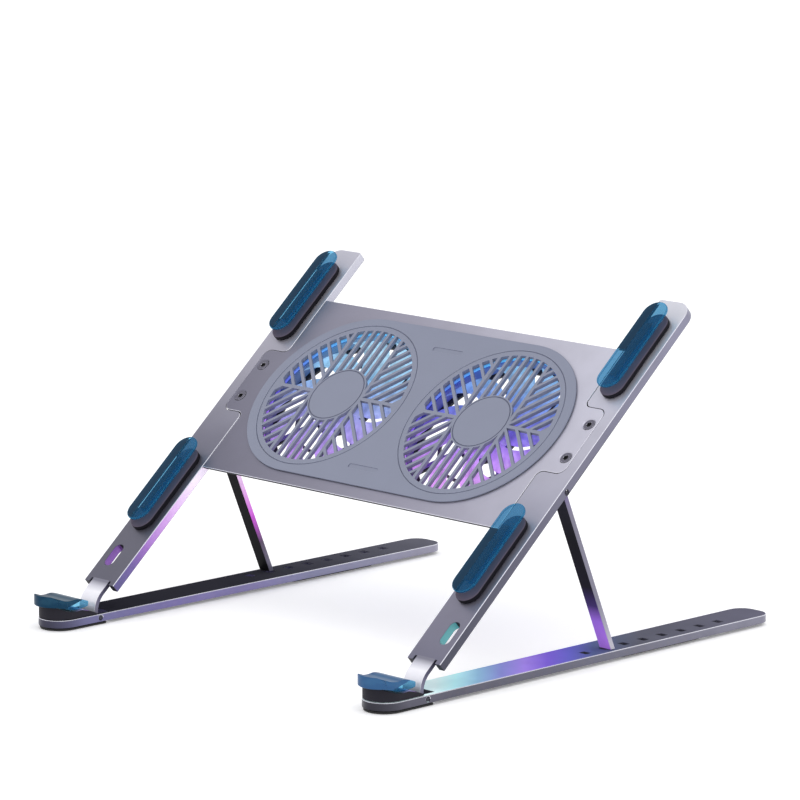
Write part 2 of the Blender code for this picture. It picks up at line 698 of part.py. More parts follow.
def main():
    for old in list(bpy.data.objects):
        bpy.data.objects.remove(old)
    aluminium = material("anodised_aluminium", (0.26, 0.25, 0.30), 0.38, 0.9)
    dark_metal = material("dark_aluminium", (0.10, 0.09, 0.13), 0.35, 0.9)
    rubber = material("dark_rubber", (0.055, 0.05, 0.07), 0.7)
    foot_rubber = material("foot_rubber", (0.012, 0.012, 0.014), 0.8)
    silicone = material("blue_silicone", (0.03, 0.17, 0.33), 0.3, 0.0, 0.5)
    steel = material("steel", (0.35, 0.35, 0.37), 0.3, 1.0)
    grille_plastic = material("grille_plastic", (0.25, 0.28, 0.38), 0.45)
    cover_plastic = material("cover_plastic", (0.03, 0.03, 0.035), 0.5)
    blade_plastic = material("blade_plastic", (0.45, 0.55, 0.85), 0.2, 0.0, 0.7)
    diffuser = material("light_diffuser", (0.75, 0.8, 0.95), 0.5, 0.0, 0.3)
    copper = material("copper_winding", (0.55, 0.22, 0.09), 0.35, 1.0)
    laminate = material("board_laminate", (0.02, 0.14, 0.07), 0.4)

    stand = frame("stand", (0, STAND_SHIFT_Y, 0))
    platform = frame("platform", (0, RAIL_Y, RAIL_Z), TILT, stand)
    strut_y, strut_z, _, strut_angle = strut_line()
    for side_name, side in SIDES.items():
        hinge = frame(f"bar_hinge_{side_name}", (0, 0, HINGE_Z), 0.0, stand)
        base_bar(f"base_bar_{side_name}", side, hinge, dark_metal)
        base_pin(f"base_pin_{side_name}", side, hinge, steel)
        front_stop(f"front_stop_{side_name}", side, hinge, rubber)
        stop_cushion(f"stop_cushion_{side_name}", side, hinge, silicone)
        bar_feet(side_name, side, hinge, foot_rubber)
        rail(f"rail_{side_name}", side, platform, aluminium)
        rail_pads(side_name, side, platform, rubber, silicone)
        knee = frame(f"strut_hinge_{side_name}", (0, strut_y, strut_z), strut_angle, stand)
        strut(f"strut_{side_name}", side, knee, dark_metal)
        strut_pin(f"strut_pin_{side_name}", side, platform, steel)
        fan_x = side * FAN_X
        fan_frame(f"fan_frame_{side_name}", fan_x, platform, cover_plastic)
        fan_motor(f"fan_motor_{side_name}", fan_x, platform, copper)
        led_ring(f"led_ring_{side_name}", fan_x, platform, diffuser)
        spindle = frame(f"spindle_{side_name}", (fan_x, FAN_S, SPINDLE_H), 0.0, platform)
        fan_rotor(f"fan_rotor_{side_name}", spindle, blade_plastic)
    cross_plate(platform, aluminium)
    plate_screws(platform, steel)
    grille_panel(platform, grille_plastic)
    rear_cover(platform, cover_plastic)
    cover_screws(platform, steel)
    control_board(platform, laminate)
    power_socket(platform, steel)


main()
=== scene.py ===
"""Looks of a folding laptop cooling stand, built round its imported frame.

Every piece is made in the frame of the body that carries it: a base bar's from its hinge axis, a
strut's from its knee, and all that sits on the platform from the lower end of the rails, with x
across, y up the slope and z out of the rails' top faces. Sizes are in millimetres, and MM turns
them to metres.
"""

from __future__ import annotations

import json
import logging
import math
from collections.abc import Callable, Iterable, Sequence
from dataclasses import dataclass, field
from enum import Enum

import bmesh
import bpy
from mathutils import Matrix, Vector

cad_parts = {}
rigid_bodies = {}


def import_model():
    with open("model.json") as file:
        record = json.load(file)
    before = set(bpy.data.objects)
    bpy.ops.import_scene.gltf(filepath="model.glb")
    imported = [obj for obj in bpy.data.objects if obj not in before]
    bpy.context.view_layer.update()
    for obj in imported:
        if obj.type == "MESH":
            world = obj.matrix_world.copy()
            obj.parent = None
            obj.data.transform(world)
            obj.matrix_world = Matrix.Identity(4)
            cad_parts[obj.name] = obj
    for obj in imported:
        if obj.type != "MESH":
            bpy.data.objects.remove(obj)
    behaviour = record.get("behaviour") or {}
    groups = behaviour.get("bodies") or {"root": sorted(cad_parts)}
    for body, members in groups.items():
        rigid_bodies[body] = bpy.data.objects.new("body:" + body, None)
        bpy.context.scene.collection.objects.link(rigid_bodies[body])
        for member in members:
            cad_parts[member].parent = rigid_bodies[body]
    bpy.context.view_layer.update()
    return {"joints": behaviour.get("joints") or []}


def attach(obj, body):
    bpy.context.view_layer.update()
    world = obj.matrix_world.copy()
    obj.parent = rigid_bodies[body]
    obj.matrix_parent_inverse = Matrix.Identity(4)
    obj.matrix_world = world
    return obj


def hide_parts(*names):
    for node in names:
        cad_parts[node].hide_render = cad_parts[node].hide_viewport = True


LOG = logging.getLogger("cooling_stand")
MM = 0.001
GAP = 0.3

Outline = list[tuple[float, float]]
Socket = bpy.types.NodeSocket
# Picks the number of a face's finish from its centre in mm, its normal, and whether it is an edge face.
Rule = Callable[[Vector, Vector, bool], int]


class Side(Enum):
    """The two sides of the stand, as someone at the laptop sees them."""

    LEFT = -1
    RIGHT = 1

    @property
    def word(self) -> str:
        """The side as it is written in piece names."""
        return self.name.lower()


class Plane(Enum):
    """The plane that an outline lies in, and so the axis along which it is swept."""

    XY = "xy"
    YZ = "yz"
    XZ = "xz"


# ---------------------------------------------------------------- outlines


def arc(cx: float, cy: float, radius: float, start: float, end: float, steps: int) -> Outline:
    """Points on a circle from one angle to another in degrees, both ends included."""
    angles = [math.radians(start + (end - start) * i / steps) for i in range(steps + 1)]
    return [(cx + radius * math.cos(a), cy + radius * math.sin(a)) for a in angles]


def circle(cx: float, cy: float, radius: float, steps: int) -> Outline:
    """A closed circle."""
    return arc(cx, cy, radius, 0, 360, steps)[:-1]


def box_outline(x0: float, x1: float, y0: float, y1: float) -> Outline:
    """A plain rectangle."""
    return [(x0, y0), (x1, y0), (x1, y1), (x0, y1)]


def rounded_box(x0: float, x1: float, y0: float, y1: float, radius: float, steps: int = 6) -> Outline:
    """A rectangle with round corners.

    Args:
        x0: The least x.
        x1: The greatest x.
        y0: The least y.
        y1: The greatest y.
        radius: The corners' radius.
        steps: How many edges each corner takes.

    Returns:
        The points of the outline.
    """
    corners = ((x1 - radius, y1 - radius, 0), (x0 + radius, y1 - radius, 90),
               (x0 + radius, y0 + radius, 180), (x1 - radius, y0 + radius, 270))
    return [p for cx, cy, a in corners for p in arc(cx, cy, radius, a, a + 90, steps)]


def wide_stadium(half_straight: float, y: float, radius: float, steps: int) -> Outline:
    """A stadium whose straight sides run along x."""
    right = arc(half_straight, y, radius, -90, 90, steps)
    return right + arc(-half_straight, y, radius, 90, 270, steps)


def long_stadium(x: float, y0: float, y1: float, width: float, steps: int) -> Outline:
    """A stadium whose straight sides run along y."""
    r = width / 2
    return arc(x, y1 - r, r, 0, 180, steps) + arc(x, y0 + r, r, 180, 360, steps)


def across(outline: Outline, side: Side) -> Outline:
    """The outline as it is on the right, or mirrored for the left."""
    return [(side.value * x, y) for x, y in outline]


def clipped(outline: Outline, nx: float, ny: float, least: float) -> Outline:
    """The part of a convex outline where nx * x + ny * y is at least this much.

    Args:
        outline: The convex outline.
        nx: The direction's x.
        ny: The direction's y.
        least: How far along the direction the part begins.

    Returns:
        What is left of it, which may be nothing.
    """
    kept: Outline = []
    for (ax, ay), (bx, by) in zip(outline, outline[1:] + outline[:1]):
        a = nx * ax + ny * ay - least
        b = nx * bx + ny * by - least
        if a >= 0:
            kept.append((ax, ay))
        if (a < 0) != (b < 0):
            t = a / (a - b)
            kept.append((ax + t * (bx - ax), ay + t * (by - ay)))
    return kept


def outline_area(outline: Outline) -> float:
    """The area that an outline closes in."""
    pairs = zip(outline, outline[1:] + outline[:1])
    return abs(sum(ax * by - bx * ay for (ax, ay), (bx, by) in pairs)) / 2


def span(side: Side, inner: float, outer: float) -> list[float]:
    """Two distances from the stand's middle as x on one side, the lesser first."""
    return sorted((side.value * inner, side.value * outer))


# ---------------------------------------------------------------- solids


def prism(outline: Outline, low: float, high: float, plane: Plane = Plane.XY) -> bmesh.types.BMesh:
    """A closed solid: the outline swept across its plane.

    Args:
        outline: The points in the plane's own two axes.
        low: Where the sweep starts.
        high: Where it ends.
        plane: The plane that the outline lies in.

    Returns:
        The solid, with its faces pointing out.
    """
    spots = {
        Plane.XY: lambda u, v, w: Vector((u, v, w)),
        Plane.YZ: lambda u, v, w: Vector((w, u, v)),
        Plane.XZ: lambda u, v, w: Vector((u, w, v)),
    }[plane]
    bm = bmesh.new()
    rings = [[bm.verts.new(spots(u, v, w) * MM) for u, v in outline] for w in (low, high)]
    bm.faces.new(rings[0])
    bm.faces.new(rings[1])
    for a, b, c, d in zip(rings[0], rings[0][1:] + rings[0][:1],
                          rings[1][1:] + rings[1][:1], rings[1]):
        bm.faces.new((a, b, c, d))
    bmesh.ops.recalc_face_normals(bm, faces=bm.faces)
    return bm


def turned(profile: Outline, steps: int, x: float = 0.0, y: float = 0.0) -> bmesh.types.BMesh:
    """A closed solid turned about the z axis through (x, y) from a ring or disc profile (r, z).

    Args:
        profile: The closed profile; a point at r = 0 lies on the axis.
        steps: How many faces go round.
        x: The axis across.
        y: The axis up the slope.

    Returns:
        The solid, with its faces pointing out.
    """
    bm = bmesh.new()
    rings = []
    for r, z in profile:
        count = 1 if r == 0 else steps
        turns = (2 * math.pi * i / steps for i in range(count))
        points = [Vector((x + r * math.cos(a), y + r * math.sin(a), z)) * MM for a in turns]
        rings.append([bm.verts.new(p) for p in points])
    for lower, upper in zip(rings, rings[1:] + rings[:1]):
        if len(lower) == len(upper) == 1:
            continue
        for i in range(steps):
            j = (i + 1) % steps
            corners = [lower[i % len(lower)], lower[j % len(lower)]]
            corners += [upper[j % len(upper)], upper[i % len(upper)]]
            bm.faces.new(list(dict.fromkeys(corners)))
    bmesh.ops.recalc_face_normals(bm, faces=bm.faces)
    return bm


def joined(parts: Iterable[bmesh.types.BMesh]) -> bmesh.types.BMesh:
    """One bmesh that holds several separate closed shapes.

    Args:
        parts: The shapes, which are used up.

    Returns:
        The shapes together.
    """
    whole = bmesh.new()
    for part in parts:
        mesh = bpy.data.meshes.new("part")
        part.to_mesh(mesh)
        part.free()
        whole.from_mesh(mesh)
        bpy.data.meshes.remove(mesh)
    return whole


def linked(name: str, bm: bmesh.types.BMesh) -> bpy.types.Object:
    """The bmesh as an object in the scene.

    Args:
        name: The object's name.
        bm: Its mesh, which is used up.

    Returns:
        The object.
    """
    mesh = bpy.data.meshes.new(name)
    bm.to_mesh(mesh)
    bm.free()
    made = bpy.data.objects.new(name, mesh)
    bpy.context.scene.collection.objects.link(made)
    return made


class Workpiece:
    """A solid on the bench: a first block, then cuts, additions and rounded edges in turn."""

    def __init__(self, name: str, block: bmesh.types.BMesh) -> None:
        """Starts from the block.

        Args:
            name: The finished object's name.
            block: The first solid.
        """
        self.made = linked(name, block)
        self.made.data.materials.append(None)
        self.made.data.materials.append(None)
        self.tools: list[bpy.types.Object] = []

    def _work(self, operation: str, bm: bmesh.types.BMesh) -> Workpiece:
        """One Boolean with a tool that is given in the piece's own frame.

        Args:
            operation: DIFFERENCE, UNION or INTERSECT.
            bm: The tool's shape.

        Returns:
            The piece, for the next step.
        """
        tool = linked(f"{self.made.name}_tool_{len(self.tools)}", bm)
        tool.hide_render = True
        self.tools.append(tool)
        step = self.made.modifiers.new(operation.title(), "BOOLEAN")
        step.operation = operation
        step.solver = "EXACT"
        step.object = tool
        return self

    def cut(self, *tools: bmesh.types.BMesh) -> Workpiece:
        """Takes the tools' shapes away."""
        return self._work("DIFFERENCE", joined(tools))

    def add(self, *tools: bmesh.types.BMesh) -> Workpiece:
        """Welds the tools' shapes on, one at a time.

        Args:
            tools: The shapes, in turn.

        Returns:
            The piece, for the next step.
        """
        for tool in tools:
            self._work("UNION", tool)
        return self

    def keep(self, tool: bmesh.types.BMesh) -> Workpiece:
        """Keeps only what lies inside the tool's shape."""
        return self._work("INTERSECT", tool)

    def soften(self, width: float, segments: int = 3, angle: float = 40.0, edge: int = -1) -> Workpiece:
        """Rounds the edges that are sharper than the angle.

        Args:
            width: How far the rounding reaches from the edge.
            segments: How many faces it takes.
            angle: The sharpness from which an edge is rounded, in degrees.
            edge: The material slot of the new faces, or -1 to leave it as it is.

        Returns:
            The piece, for the next step.
        """
        step = self.made.modifiers.new("Bevel", "BEVEL")
        step.width = width * MM
        step.segments = segments
        step.limit_method = "ANGLE"
        step.angle_limit = math.radians(angle)
        step.use_clamp_overlap = False
        step.material = edge
        return self

    def done(self) -> bpy.types.Object:
        """The finished object, with its steps applied, its tools gone and its flats shaded flat.

        Returns:
            The object, whose second material slot marks the rounded edges.
        """
        evened = self.made.modifiers.new("Normals", "WEIGHTED_NORMAL")
        evened.keep_sharp = True
        self.made.data.shade_smooth()
        graph = bpy.context.evaluated_depsgraph_get()
        mesh = bpy.data.meshes.new_from_object(
            self.made.evaluated_get(graph), preserve_all_data_layers=True, depsgraph=graph)
        self.made.modifiers.clear()
        rough, self.made.data = self.made.data, mesh
        bpy.data.meshes.remove(rough)
        for tool in self.tools:
            bpy.data.meshes.remove(tool.data)
        return self.made


# ---------------------------------------------------------------- finishes


def linear(code: str) -> tuple[float, float, float, float]:
    """An sRGB hex colour as the linear one that shaders take.

    Args:
        code: The colour, as #rrggbb.

    Returns:
        Red, green, blue and alpha.
    """
    parts = [int(code[i:i + 2], 16) / 255 for i in (1, 3, 5)]
    red, green, blue = (c / 12.92 if c <= 0.04045 else ((c + 0.055) / 1.055) ** 2.4 for c in parts)
    return red, green, blue, 1.0


def add_node(tree: bpy.types.NodeTree, kind: str, settings: dict | None = None,
             inputs: dict | None = None) -> bpy.types.Node:
    """One node with its settings, its values and its links.

    Args:
        tree: The material's or world's node tree.
        kind: The node's type, without the leading ShaderNode.
        settings: Attributes of the node.
        inputs: Values or sockets to link, by the input's name or number.

    Returns:
        The node.
    """
    node = tree.nodes.new(f"ShaderNode{kind}")
    for name, value in (settings or {}).items():
        setattr(node, name, value)
    for name, value in (inputs or {}).items():
        if isinstance(value, Socket):
            tree.links.new(value, node.inputs[name])
        else:
            node.inputs[name].default_value = value
    return node


def per_metre(size: float) -> float:
    """The texture scale at which a pattern's feature is this many millimetres wide."""
    return 1.0 / (size * MM)


@dataclass(frozen=True)
class Tint:
    """Colours that follow each other along a line through a piece, from start to end in mm."""

    along: tuple[float, float, float]
    start: float
    end: float
    stops: tuple[tuple[float, str], ...]

    def socket(self, tree: bpy.types.NodeTree) -> Socket:
        """The colour at each point of the piece.

        Args:
            tree: The material's node tree.

        Returns:
            The socket that gives it.
        """
        spot = add_node(tree, "TexCoord").outputs["Object"]
        reach = add_node(tree, "VectorMath", {"operation": "DOT_PRODUCT"}, {0: spot, 1: self.along})
        share = add_node(tree, "MapRange", None, {
            "Value": reach.outputs["Value"],
            "From Min": self.start * MM,
            "From Max": self.end * MM,
        })
        ramp = add_node(tree, "ValToRGB", None, {"Fac": share.outputs["Result"]})
        points = ramp.color_ramp.elements
        while len(points) < len(self.stops):
            points.new(0.5)
        for point, (place, code) in zip(points, self.stops):
            point.position = place
            point.color = linear(code)
        return ramp.outputs["Color"]


@dataclass(frozen=True)
class Finish:
    """A surface: its colour, how rough it is, its grain, and how unevenly it has been treated."""

    name: str
    colour: str | Tint
    roughness: float = 0.5
    metallic: float = 0.0
    ior: float = 1.5
    grain: float = 0.35  # width of the grain in mm
    relief: float = 0.006  # depth of the grain in mm
    stretch: tuple[float, float, float] = (1.0, 1.0, 1.0)  # below 1 draws the grain out on that axis
    unevenness: float = 0.05  # share by which the colour and the roughness wander
    patch: float = 16.0  # width in mm over which they wander
    glow: float = 0.0
    coat: float = 0.0
    shine: float = 0.5  # how strongly it mirrors at a glancing angle; 0.5 is a clean surface

    def _colour(self, tree: bpy.types.NodeTree, wander: Socket) -> Socket:
        """The colour, a little lighter and darker in patches.

        Args:
            tree: The material's node tree.
            wander: The noise that makes the patches.

        Returns:
            The socket that gives it.
        """
        base = self.colour.socket(tree) if isinstance(self.colour, Tint) else None
        shade = add_node(tree, "MapRange", None, {
            "Value": wander,
            "From Min": 0.3,
            "From Max": 0.7,
            "To Min": 1.0 - self.unevenness,
            "To Max": 1.0 + self.unevenness,
        })
        shaded = add_node(tree, "VectorMath", {"operation": "SCALE"}, {
            0: base if base else linear(str(self.colour))[:3],
            "Scale": shade.outputs["Result"],
        })
        return shaded.outputs["Vector"]

    def make(self) -> bpy.types.Material:
        """The material, made once and then found by its name."""
        found = bpy.data.materials.get(self.name)
        if found:
            return found
        made = bpy.data.materials.new(self.name)
        made.use_nodes = True
        tree = made.node_tree
        shader = tree.nodes["Principled BSDF"]
        spot = add_node(tree, "TexCoord").outputs["Object"]
        drawn = add_node(tree, "VectorMath", {"operation": "MULTIPLY"}, {0: spot, 1: self.stretch})
        patches = add_node(tree, "TexNoise", None, {
            "Vector": spot, "Scale": per_metre(self.patch), "Detail": 3.0}).outputs["Fac"]
        grit = add_node(tree, "TexNoise", None, {
            "Vector": drawn.outputs["Vector"], "Scale": per_metre(self.grain), "Detail": 2.0,
        }).outputs["Fac"]
        colour = self._colour(tree, patches)
        worn = add_node(tree, "MapRange", None, {
            "Value": patches,
            "From Min": 0.3,
            "From Max": 0.7,
            "To Min": self.roughness * (1.0 - 1.5 * self.unevenness),
            "To Max": self.roughness * (1.0 + 1.5 * self.unevenness),
        })
        bump = add_node(tree, "Bump", None, {
            "Height": grit, "Strength": 1.0, "Distance": self.relief * MM})
        tree.links.new(colour, shader.inputs["Base Color"])
        tree.links.new(worn.outputs["Result"], shader.inputs["Roughness"])
        tree.links.new(bump.outputs["Normal"], shader.inputs["Normal"])
        shader.inputs["Metallic"].default_value = self.metallic
        shader.inputs["Coat Weight"].default_value = self.coat
        shader.inputs["Specular IOR Level"].default_value = self.shine
        if self.shine < 0.5:
            shader.inputs["Specular Tint"].default_value = (*[2 * self.shine] * 3, 1.0)
        if not self.metallic:
            shader.inputs["IOR"].default_value = self.ior
        if self.glow:
            tree.links.new(colour, shader.inputs["Emission Color"])
            shader.inputs["Emission Strength"].default_value = self.glow
        return made


@dataclass(frozen=True)
class Gel:
    """Translucent silicone: what lies behind it shows through blue, and the gel scatters a little.

    The tint is what one face lets through, so a sheet passes it twice. Where all the marks of its
    dense part are white, the gel is loaded with pigment and hides what is behind it.
    """

    name: str
    body: str = "#2f76a8"
    tint: str = "#bde9f8"
    cover: float = 0.17  # share of the light that one face scatters
    pigment: str = "#0a2f48"
    dense: tuple[Tint, ...] = ()
    roughness: float = 0.3
    shine: float = 0.12

    def make(self) -> bpy.types.Material:
        """The material, made once and then found by its name."""
        found = bpy.data.materials.get(self.name)
        if found:
            return found
        made = bpy.data.materials.new(self.name)
        made.use_nodes = True
        tree = made.node_tree
        skin = tree.nodes["Principled BSDF"]
        clear = add_node(tree, "BsdfTransparent", None, {"Color": linear(self.tint)})
        skin.inputs["Base Color"].default_value = linear(self.body)
        skin.inputs["Roughness"].default_value = self.roughness
        skin.inputs["IOR"].default_value = 1.41
        skin.inputs["Specular IOR Level"].default_value = self.shine
        mixed = add_node(tree, "MixShader", None, {
            0: self.cover, 1: clear.outputs["BSDF"], 2: skin.outputs["BSDF"]})
        if self.dense:
            share = self.dense[0].socket(tree)
            for mark in self.dense[1:]:
                share = add_node(tree, "Math", {"operation": "MULTIPLY"}, {
                    0: share, 1: mark.socket(tree)}).outputs["Value"]
            body = add_node(tree, "Mix", {"data_type": "RGBA"}, {
                0: share, 6: linear(self.body), 7: linear(self.pigment)})
            cover = add_node(tree, "MapRange", None, {
                "Value": share, "To Min": self.cover, "To Max": 0.97})
            tree.links.new(body.outputs[2], skin.inputs["Base Color"])
            tree.links.new(cover.outputs["Result"], mixed.inputs[0])
        tree.links.new(mixed.outputs["Shader"], tree.nodes["Material Output"].inputs["Surface"])
        return made


ALONG_Y = (0.0, 1.0, 0.0)

# Diamond-cut aluminium: the bright line that runs round every anodised edge.
CUT_EDGE = Finish("diamond_cut_aluminium_edge", "#d2d2dc", 0.26, 0.8, grain=0.6, relief=0.002)
# Polished steel tongue: near white, drawn into fine lines down its length, with painted shade darkening it
# towards the rail.
POLISHED_STEEL = Finish("polished_steel", Tint(ALONG_Y, -12.0, 2.0, (
    (0.0, "#e6e5ec"), (0.5, "#efeef4"), (0.72, "#c9c8d3"), (0.95, "#747382"),
)), 0.3, 0.3, grain=0.5, relief=0.004, stretch=(1.0, 0.05, 0.05))
# Steel pins, drawn bar: dark grey with a soft gloss, and rings from the lathe too fine to see.
PIN_STEEL = Finish("drawn_steel", "#3b3a45", 0.34, 0.6, grain=0.4, relief=0.004, stretch=(1.0, 0.1, 0.1))
# Black nickel screws: dark, satin, a lighter rim.
SCREW_NICKEL = Finish("black_nickel_plate", "#63616f", 0.3, 0.8, grain=0.3, relief=0.003)
# Anodised aluminium on a sawn or milled edge: painted near black and dull as the shade on faces turned from
# the light.
SHADED_WALL = Finish("anodised_dark_wall", "#24232b", 0.45, shine=0.15)
# Sheared steel on the tongue's flanks, painted in shade: violet grey at the hinge and near black at the rail.
TONGUE_SIDE_SHADE = Finish("blackened_steel_side", Tint(ALONG_Y, -14.0, 2.0, (
    (0.0, "#8d8aa0"), (0.5, "#55536a"), (1.0, "#2b2a35"),
)), 0.4, shine=0.2)
# Black nickel down in the screws' sockets, painted black as the shade in the hollow, with hardly any gloss.
SOCKET_SHADE = Finish("black_nickel_recess", "#16151c", 0.5, 0.3)
# Moulded nitrile pads: charcoal with a faint violet cast and a dull mould-grain top; the sides painted darker
# as shade.
PAD_TOP = Finish("moulded_rubber_top", "#57505f", 0.7, ior=1.52, grain=0.5, relief=0.01, shine=0.15)
PAD_SIDE_SHADE = Finish("moulded_rubber_side", "#1c1b21", 0.6, ior=1.52, grain=0.5, relief=0.01, shine=0.15)
# The same rubber on the stops, with a painted violet highlight where it ramps down to the tongue.
STOP_TOP_HIGHLIGHT = Finish("glossy_stop_ramp", Tint(ALONG_Y, -16.0, -2.0, (
    (0.0, "#29282f"), (0.4, "#a49ccf"), (0.55, "#8a5aa8"), (0.68, "#2b2932"),
)), 0.45, ior=1.52, grain=0.45, relief=0.01, shine=0.15)
STOP_RUBBER = Finish("moulded_stop_rubber", "#29282f", 0.6, ior=1.52, grain=0.45, relief=0.01, shine=0.15)
# Feet of black rubber, left matt from the mould: no highlight, a coarser grit.
FOOT_RUBBER = Finish("matt_black_rubber", "#101013", 0.7, ior=1.52, grain=0.6, relief=0.03)
# ABS moulded in a spark-eroded tool: slate, with a fine even grit.
GRILLE_ABS = Finish("spark_textured_abs", "#7b8094", 0.48, ior=1.53, grain=0.45, relief=0.012,
                    unevenness=0.02)
# Its rounded top edges, painted lighter as highlight.
GRILLE_EDGE_HIGHLIGHT = Finish("moulded_abs_edge", "#8b90a4", 0.4, ior=1.53, grain=0.45, relief=0.006,
                     unevenness=0.02)
# The groove floors, the disc's groove and the marks' walls, painted darker as shade.
GRILLE_GROOVE_SHADE = Finish("moulded_abs_groove", "#585d73", 0.5, ior=1.53)
# Black ABS behind, moulded matt: a faint grit under a broad dull shine.
COVER_ABS = Finish("matt_black_abs", "#202027", 0.5, ior=1.53, grain=0.5, relief=0.015)
# Enamelled copper wire, wound: fine rings with a varnish gloss.
COPPER = Finish("enamelled_copper_winding", "#b0683c", 0.3, 0.9, grain=0.5, relief=0.05,
                stretch=(0.2, 0.2, 1.0), coat=0.5)
# Glass-fibre laminate under solder mask: dark green, glossy, with the weave just showing.
LAMINATE = Finish("solder_masked_laminate", "#12502f", 0.35, ior=1.55, grain=1.2, relief=0.02, coat=0.3)


def side_light(side: Side, outer: bool) -> Finish:
    """The rails' side walls: anodised, painted lighter up the rail, with the fans' light painted on the left
    inner wall.

    Args:
        side: Which rail.
        outer: Whether it is the wall that looks away from the fans.

    Returns:
        The finish.
    """
    if side is Side.LEFT and not outer:
        stops = (
            (0.02, "#665f90"), (0.07, "#7a68a6"), (0.12, "#a276c4"), (0.15, "#bd8edc"), (0.19, "#d3a3e8"),
            (0.24, "#e8c2f6"), (0.31, "#f8eaff"), (0.6, "#abaaba"), (1.0, "#c4c4d0"),
        )
    elif side is Side.RIGHT and outer:
        stops = ((0.0, "#4a4b58"), (0.3, "#5f5e6e"), (0.6, "#777688"), (1.0, "#8b8a9e"))
    else:
        stops = ((0.0, "#595866"), (1.0, "#8b8a98"))
    name = f"anodised_rail_wall_{side.word}_{'outer' if outer else 'inner'}"
    return Finish(name, Tint(ALONG_Y, 0.0, 220.0, stops), 0.36, 0.75, grain=0.3, relief=0.004)


def rail_top(side: Side) -> Finish:
    """Bead-blasted, anodised aluminium: mauve grey, painted darker towards the laptop's front as shade and
    lighter up the rail.

    Args:
        side: Which rail.

    Returns:
        The finish.
    """
    if side is Side.LEFT:
        stops = ((0.0, "#5c5b69"), (0.13, "#5f5e6b"), (0.43, "#737281"), (0.5, "#82818f"), (0.68, "#a19fac"),
                 (1.0, "#bab9c5"))
    else:
        stops = ((0.0, "#6e6d7f"), (0.2, "#7f7d8d"), (0.43, "#9f9eae"), (0.6, "#b3b2c0"), (0.7, "#b9b8c6"),
                 (1.0, "#d0d0d9"))
    return Finish(f"anodised_rail_{side.word}", Tint(ALONG_Y, 0.0, 220.0, stops), 0.42, 0.6,
                  grain=0.28, relief=0.005)


# Sheet aluminium, bead-blasted and anodised: satin mauve grey, painted lighter up and to the right as light.
PLATE = Finish("anodised_plate", Tint((0.62, 0.5, 0.0), -25.0, 155.0, (
    (0.0, "#666575"), (0.5, "#9391a1"), (1.0, "#c5c4d2"),
)), 0.42, 0.6, grain=0.28, relief=0.005)
# The same anodising below, where little light comes: a darker grey.
UNDERSIDE = Finish("anodised_underside", "#4c4a58", 0.42, 0.6, grain=0.28, relief=0.005)
# Anodised walls of the slots above the tongues: a painted glint of the fans' light, violet left and teal
# right.
SLOT_WALL = {
    Side.LEFT: Finish("anodised_slot_wall_left", "#8f63b5", 0.3, 0.5),
    Side.RIGHT: Finish("anodised_slot_wall_right", "#5fa3a8", 0.3, 0.5),
}
# Painted reflection of the fans' light on the right bar: mint, blue, violet, then plain dark grey, with a
# faint glow.
# The left bar is plain, painted darker towards the front as shade.
BAR_TOP = {
    Side.LEFT: Finish("anodised_bar_left", Tint(ALONG_Y, 0.0, 230.0, (
        (0.0, "#2b2b33"), (0.45, "#36363e"), (0.7, "#494953"), (1.0, "#63636e"),
    )), 0.4, grain=0.25, relief=0.003, shine=0.0),
    Side.RIGHT: Finish("tinted_bar_right", Tint((1.05, 1.0, 0.0), 131.6, 351.6, (
        (0.0, "#e2fbfd"), (0.06, "#bdf2fa"), (0.127, "#90bada"), (0.195, "#8b90d6"),
        (0.264, "#a186e4"), (0.332, "#8268da"), (0.4, "#6c6ac8"), (0.473, "#5a6590"),
        (0.55, "#5e6479"), (0.62, "#5f606c"), (1.0, "#656474"),
    )), 0.4, grain=0.25, relief=0.003, shine=0.0, glow=0.08),
}
# The extruded bars' anodised side walls, satin: painted near black at the round front end as shade, lighter
# towards the rear, and faintly violet on the left as a painted reflection of the fans' light.
BAR_WALL = {
    Side.LEFT: Finish("anodised_bar_wall_left", Tint(ALONG_Y, -30.0, 230.0, (
        (0.0, "#2c2b35"), (0.08, "#6c6b90"), (0.3, "#7b73a6"), (0.5, "#8881ae"),
        (0.65, "#8585a2"), (1.0, "#918f9f"),
    )), 0.32, 0.7, grain=0.25, relief=0.003),
    Side.RIGHT: Finish("anodised_bar_wall_right", Tint(ALONG_Y, -30.0, 230.0, (
        (0.0, "#26252c"), (0.07, "#5a5966"), (0.5, "#6a6a78"), (1.0, "#807f8e"),
    )), 0.32, 0.7, grain=0.25, relief=0.003),
}
# Pressed aluminium struts, near black on the broad faces; at the right one's foot a painted violet reflection
# of the fans' light, glowing a little.
STRUT_FACE = {
    Side.LEFT: Finish("dark_strut_left", "#141418", 0.4, grain=0.25, relief=0.003, shine=0.05),
    Side.RIGHT: Finish("tinted_strut_right", Tint(ALONG_Y, 0.0, 86.0, (
        (0.0, "#23222f"), (0.3, "#131219"), (0.6, "#16131f"), (0.72, "#3c2d62"),
        (0.82, "#9568cf"), (1.0, "#c085f2"),
    )), 0.4, grain=0.25, relief=0.003, shine=0.05, glow=0.15),
}
# Their narrow walls, with painted light: a pink and magenta reflection of the fans' light on the left, greys
# lightening towards the foot on the right.
STRUT_WALL = {
    Side.LEFT: Finish("tinted_strut_wall_left", Tint(ALONG_Y, 0.0, 86.0, (
        (0.0, "#8d8c9a"), (0.25, "#f3e8f8"), (0.45, "#f0b2f4"), (0.62, "#d85ae0"),
        (0.72, "#a048ac"), (0.8, "#5b4a66"), (1.0, "#7d7b90"),
    )), 0.28, 0.3, grain=0.25, relief=0.003),
    Side.RIGHT: Finish("tinted_strut_wall_right", Tint(ALONG_Y, 0.0, 86.0, (
        (0.0, "#6f6390"), (0.15, "#737082"), (0.7, "#7a7889"), (0.9, "#a5a3b2"), (1.0, "#bdbbc8"),
    )), 0.3, 0.3, grain=0.25, relief=0.003),
}
